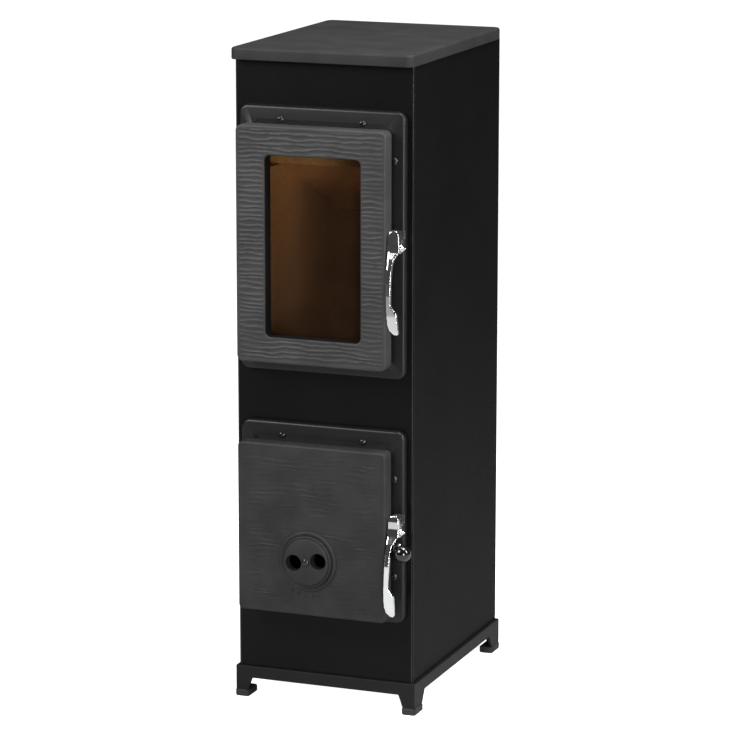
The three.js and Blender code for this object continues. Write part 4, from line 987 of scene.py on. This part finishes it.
def buildRope(storey, look):
    middle = rimLoop(inset(doorRects[storey], look["inset"]), look["corner"], look["steps"])
    count, sides = len(middle), look["sides"]
    points = []
    run = 0
    for i, (x, z) in enumerate(middle):
        ahead, behind = middle[(i + 1) % count], middle[i - 1]
        along = Vector((ahead[0] - behind[0], ahead[1] - behind[1])).normalized()
        run += math.hypot(x - behind[0], z - behind[1]) if i else 0
        for k in range(sides):
            angle = 2 * math.pi * k / sides
            swell = 1 + look["swell"] * math.cos(2 * math.pi * run / look["twist"] + 2 * angle)
            out = look["radius"] * swell * math.cos(angle)
            up = min(look["radius"] * swell * math.sin(angle), look["flat"])
            points.append(at(x + along.y * out, look["stand"] + up, z - along.x * out))
    rope = makePiece(storey + "DoorRope", points, bandFaces(count, sides, True), sealRope, 60)
    dress(rope, storey + "_door_rope")


for storey in ("upper", "lower"):
    buildRope(storey, ropeDetail)

# Frame screws: a button head with a hexagonal recess.
screwHead = {"rim": 6, "height": 4, "recess": 2.6, "recessDepth": 2.2, "shank": 2.5, "sides": 36}


def buildFrameScrew(node, look):
    x, _, z = middleOf(node)
    span = spanOf(node)
    tip, rim, recess, shank = span["front"], look["rim"], look["recess"], look["shank"]
    seat = tip - look["height"]
    sixth = math.pi / 3

    def ring(radius, stand, hexed=False):
        points = []
        for i in range(look["sides"]):
            angle = 2 * math.pi * i / look["sides"]
            reach = radius * math.cos(sixth / 2) / math.cos(angle % sixth - sixth / 2) if hexed else radius
            points.append(at(x + reach * math.cos(angle), stand, z + reach * math.sin(angle)))
        return points

    rings = [
        ring(shank, span["rear"]), ring(shank, seat), ring(rim - 0.3, seat), ring(rim, seat + 0.6),
        ring(rim - 0.5, seat + 2), ring(rim - 1.5, seat + 3.2), ring(rim - 2.8, tip), ring(recess, tip, True),
        ring(recess, tip - look["recessDepth"], True),
    ]
    points = [point for row in rings for point in row]
    dress(makePiece("screw_" + node, points, bandFaces(len(rings), look["sides"]), blackScrew, 40), node)


# A hinge pin with a low round head on top.
pinLook = {"foot": 2.2, "radius": 3, "head": 4.5, "headHeight": 2}


def buildHingePin(node, look):
    x, stand, _ = middleOf(node)
    span = spanOf(node)
    low, high = span["z0"], span["z1"]
    radius, head, seat = look["radius"], look["head"], high - look["headHeight"]
    profile = [
        (low, look["foot"]), (low + 0.8, radius), (seat, radius), (seat, head - 0.2), (high - 1.6, head),
        (high - 0.7, head - 0.2), (high, 2.8),
    ]
    dress(turned("pin_" + node, profile, [x, stand, 0], "z", brightSteel, 24), node)


for storey in ("upper", "lower"):
    for i in range(1, 5):
        buildFrameScrew("%s_frame_screw_%d" % (storey, i), screwHead)
    for i in (1, 2):
        buildHingePin("%s_hinge_pin_%d" % (storey, i), pinLook)
print("ropes, screws and hinge pins ready")

# Lever handles: the solid lever smoothed on a fine grid, and its pin with a conical cap.
handleLook = {
    "voxel": 0.75, "smooth": 7, "smoothShare": 0.5, "sharp": 85, "pinHole": 4, "capRadius": 6.5, "capLength": 7,
    "tip": 1.2,
}


def buildHandle(storey, look):
    node = storey + "_handle"
    mesh = frame["nodes"][node].data.copy()
    cleanUp(mesh, solidWeld)
    piece = showPiece(storey + "Lever", mesh, chromePlate, look["sharp"])
    grid = piece.modifiers.new("grid", "REMESH")
    grid.mode = "VOXEL"
    grid.voxel_size = look["voxel"] * mm
    soft = piece.modifiers.new("soft", "SMOOTH")
    soft.factor = look["smoothShare"]
    soft.iterations = look["smooth"]
    bakeModifiers(piece)
    piece.data.materials.clear()
    piece.data.materials.append(chromePlate)
    piece.data.shade_smooth()
    piece.data.set_sharp_from_angle(angle=math.radians(look["sharp"]))
    dress(piece, node)
    pin = storey + "_handle_pin"
    _, stand, z = middleOf(pin)
    span = spanOf(pin)
    foot, tip, point = span["x0"], span["x1"], look["tip"]
    seat, radius, hole = tip - look["capLength"], look["capRadius"], look["pinHole"]
    profile = [
        (foot, hole), (seat, hole), (seat, radius - 0.3), (seat + 0.3, radius), (seat + 1.4, radius - 0.2),
        (seat + 2.4, radius - 1.6), (seat + 4, radius - 3.4), (seat + 5.6, point + 0.8), (tip - 0.3, point),
        (tip, point * 0.5),
    ]
    dress(turned(storey + "HandlePin", profile, [0, stand, z], "x", chromePlate, 32, False, 50), pin)


for storey in ("upper", "lower"):
    buildHandle(storey, handleLook)

# Riddling rod with its ball, and the collar ring that it comes out of.
riddlingLook = {
    "rodX": 129, "rod": 4, "bendStand": 17, "bendReach": 5, "ballSunk": 2, "ballSteps": 24, "collar": 9,
    "collarGap": 0.4,
}


def buildRiddling(look):
    rod = spanOf("riddling_rod")
    knob = spanOf("riddling_knob")
    ballX, ballStand, z = middleOf("riddling_knob")
    radius = (knob["z1"] - knob["z0"]) / 2
    x, bend, bendReach = look["rodX"], look["bendStand"], look["bendReach"]
    lean = Vector((ballX - x, ballStand - bend)).normalized()
    reach = radius - look["ballSunk"]
    path = [
        at(x, rod["rear"], z), at(x, 0, z), at(x, bend - bendReach, z),
        at(x + lean.x * bendReach, bend + lean.y * bendReach, z),
        at(ballX - lean.x * reach, ballStand - lean.y * reach, z),
    ]
    dress(bentBar("riddlingRod", path, look["rod"], brightSteel), "riddling_rod")
    ball = []
    for i in range(look["ballSteps"] + 1):
        angle = math.pi * i / look["ballSteps"]
        ball.append((-radius * math.cos(angle), max(radius * math.sin(angle), 0.02)))
    place = [ballX, ballStand, z]
    dress(turned("riddlingBall", ball, place, "stand", knobBlack, 48, False, 80), "riddling_knob")
    span = spanOf("rod_escutcheon")
    rear, front, outer = span["rear"], span["front"], look["collar"]
    hole = look["rod"] + look["collarGap"]
    ring = [
        (rear, hole), (rear, outer - 0.2), (rear + 0.8, outer), (front - 1, outer - 0.6), (front, outer - 2.2),
        (front, hole + 0.6), (front - 0.6, hole),
    ]
    dress(turned("rodCollar", ring, [x, 0, z], "stand", chromePlate, 40, True), "rod_escutcheon")


buildRiddling(riddlingLook)
print("handles and riddling gear ready")

# Floor, light and camera.
studioLook = {
    "floor": 0.8, "floorSide": 40, "floorGlow": 1.0, "floorBounce": 0.18, "floorMirrored": 0.55,
    "ambient": 0.09, "reflected": 0.05, "backdrop": 1.0,
}
softboxes = [
    {"name": "keyLight", "place": (-1.25, -1.7, 1.9), "aim": (0, -0.2, 0.7), "size": (1.0, 1.0), "power": 46},
    {"name": "fillLight", "place": (2.1, -2.9, 0.7), "aim": (0, -0.1, 0.7), "size": (0.9, 1.1), "power": 54},
    {"name": "sideLight", "place": (2.3, -0.3, 1.75), "aim": (0.1, 0, 0.9), "size": (0.5, 1.2), "power": 42},
    {"name": "topLight", "place": (0.55, -0.1, 2.6), "aim": (0, 0, 0.8), "size": (1.1, 1.1), "power": 52},
]
cameraLook = {
    "azimuth": 0.3716, "pitch": 0.2097, "focus": 3518.618, "frame": 732, "sensor": 36,
    "aim": (-0.00175, -0.0005, 0.52), "distance": 5.76, "right": 0.00743, "up": 0.00027,
    "clipEnd": 200,
}


# The floor looks almost white, and throws back less light than it seems to.
def buildFloor(look):
    side = look["floorSide"]
    points = [(-side, -side, 0), (side, -side, 0), (side, side, 0), (-side, side, 0)]
    material, shader = bareFinish("paleFloor", {"roughness": (0.9, 0.9), "specular": 0})
    pale = twoTone(material, noiseOn(material, 3, 2), [0.99 * look["floor"]] * 3, [look["floor"]] * 3)
    link(material, pale, shader.inputs["Base Color"])
    shader.inputs["Emission Color"].default_value = (1, 1, 1, 1)
    shader.inputs["Emission Strength"].default_value = look["floorGlow"]
    rays = addNode(material, "ShaderNodeLightPath")
    dull = addNode(material, "ShaderNodeBsdfDiffuse", {"Color": (*[look["floorBounce"]] * 3, 1)})
    mirrored = addNode(material, "ShaderNodeBsdfDiffuse", {"Color": (*[look["floorMirrored"]] * 3, 1)})
    unseen = addNode(material, "ShaderNodeMixShader")
    either = addNode(material, "ShaderNodeMixShader")
    link(material, rays.outputs["Is Glossy Ray"], unseen.inputs["Fac"])
    link(material, dull.outputs[0], unseen.inputs[1])
    link(material, mirrored.outputs[0], unseen.inputs[2])
    link(material, rays.outputs["Is Camera Ray"], either.inputs["Fac"])
    link(material, unseen.outputs[0], either.inputs[1])
    link(material, shader.outputs[0], either.inputs[2])
    link(material, either.outputs[0], material.node_tree.nodes["Material Output"].inputs["Surface"])
    makePiece("studioFloor", points, [(0, 1, 2, 3)], material)


def buildWorld(look):
    world = bpy.data.worlds.new("studio")
    bpy.context.scene.world = world
    world.use_nodes = True
    tree = world.node_tree
    tree.nodes.clear()
    rays = tree.nodes.new("ShaderNodeLightPath")
    output = tree.nodes.new("ShaderNodeOutputWorld")
    shades = []
    for strength in (look["ambient"], look["reflected"], look["backdrop"]):
        shade = tree.nodes.new("ShaderNodeBackground")
        shade.inputs["Color"].default_value = (1, 1, 1, 1)
        shade.inputs["Strength"].default_value = strength
        shades.append(shade)
    soft = tree.nodes.new("ShaderNodeMixShader")
    seen = tree.nodes.new("ShaderNodeMixShader")
    tree.links.new(rays.outputs["Is Glossy Ray"], soft.inputs["Fac"])
    tree.links.new(shades[0].outputs[0], soft.inputs[1])
    tree.links.new(shades[1].outputs[0], soft.inputs[2])
    tree.links.new(rays.outputs["Is Camera Ray"], seen.inputs["Fac"])
    tree.links.new(soft.outputs[0], seen.inputs[1])
    tree.links.new(shades[2].outputs[0], seen.inputs[2])
    tree.links.new(seen.outputs[0], output.inputs["Surface"])


def addSoftbox(look):
    lamp = bpy.data.lights.new(look["name"], "AREA")
    lamp.shape = "RECTANGLE"
    lamp.size, lamp.size_y = look["size"]
    lamp.energy = look["power"]
    holder = bpy.data.objects.new(look["name"], lamp)
    bpy.context.scene.collection.objects.link(holder)
    holder.visible_camera = False
    holder.location = look["place"]
    toward = Vector(look["aim"]) - Vector(look["place"])
    holder.rotation_euler = toward.to_track_quat("-Z", "Y").to_euler()


def addCamera(look):
    a, e = look["azimuth"], look["pitch"]
    ahead = Vector((-math.sin(a) * math.cos(e), math.cos(a) * math.cos(e), -math.sin(e)))
    right = Vector((math.cos(a), math.sin(a), 0))
    up = right.cross(ahead)
    lens = bpy.data.cameras.new("photoCamera")
    lens.sensor_width = look["sensor"]
    lens.lens = look["focus"] * look["sensor"] / look["frame"]
    lens.clip_end = look["clipEnd"]
    camera = bpy.data.objects.new("photoCamera", lens)
    bpy.context.scene.collection.objects.link(camera)
    place = Vector(look["aim"]) - ahead * look["distance"] - right * look["right"] - up * look["up"]
    turn = Matrix((right, up, -ahead)).transposed().to_4x4()
    camera.matrix_world = Matrix.Translation(place) @ turn
    bpy.context.scene.camera = camera


buildFloor(studioLook)
buildWorld(studioLook)
for softbox in softboxes:
    addSoftbox(softbox)
addCamera(cameraLook)
bpy.context.scene.view_settings.view_transform = "Standard"
print("studio ready")

bpy.context.view_layer.update()
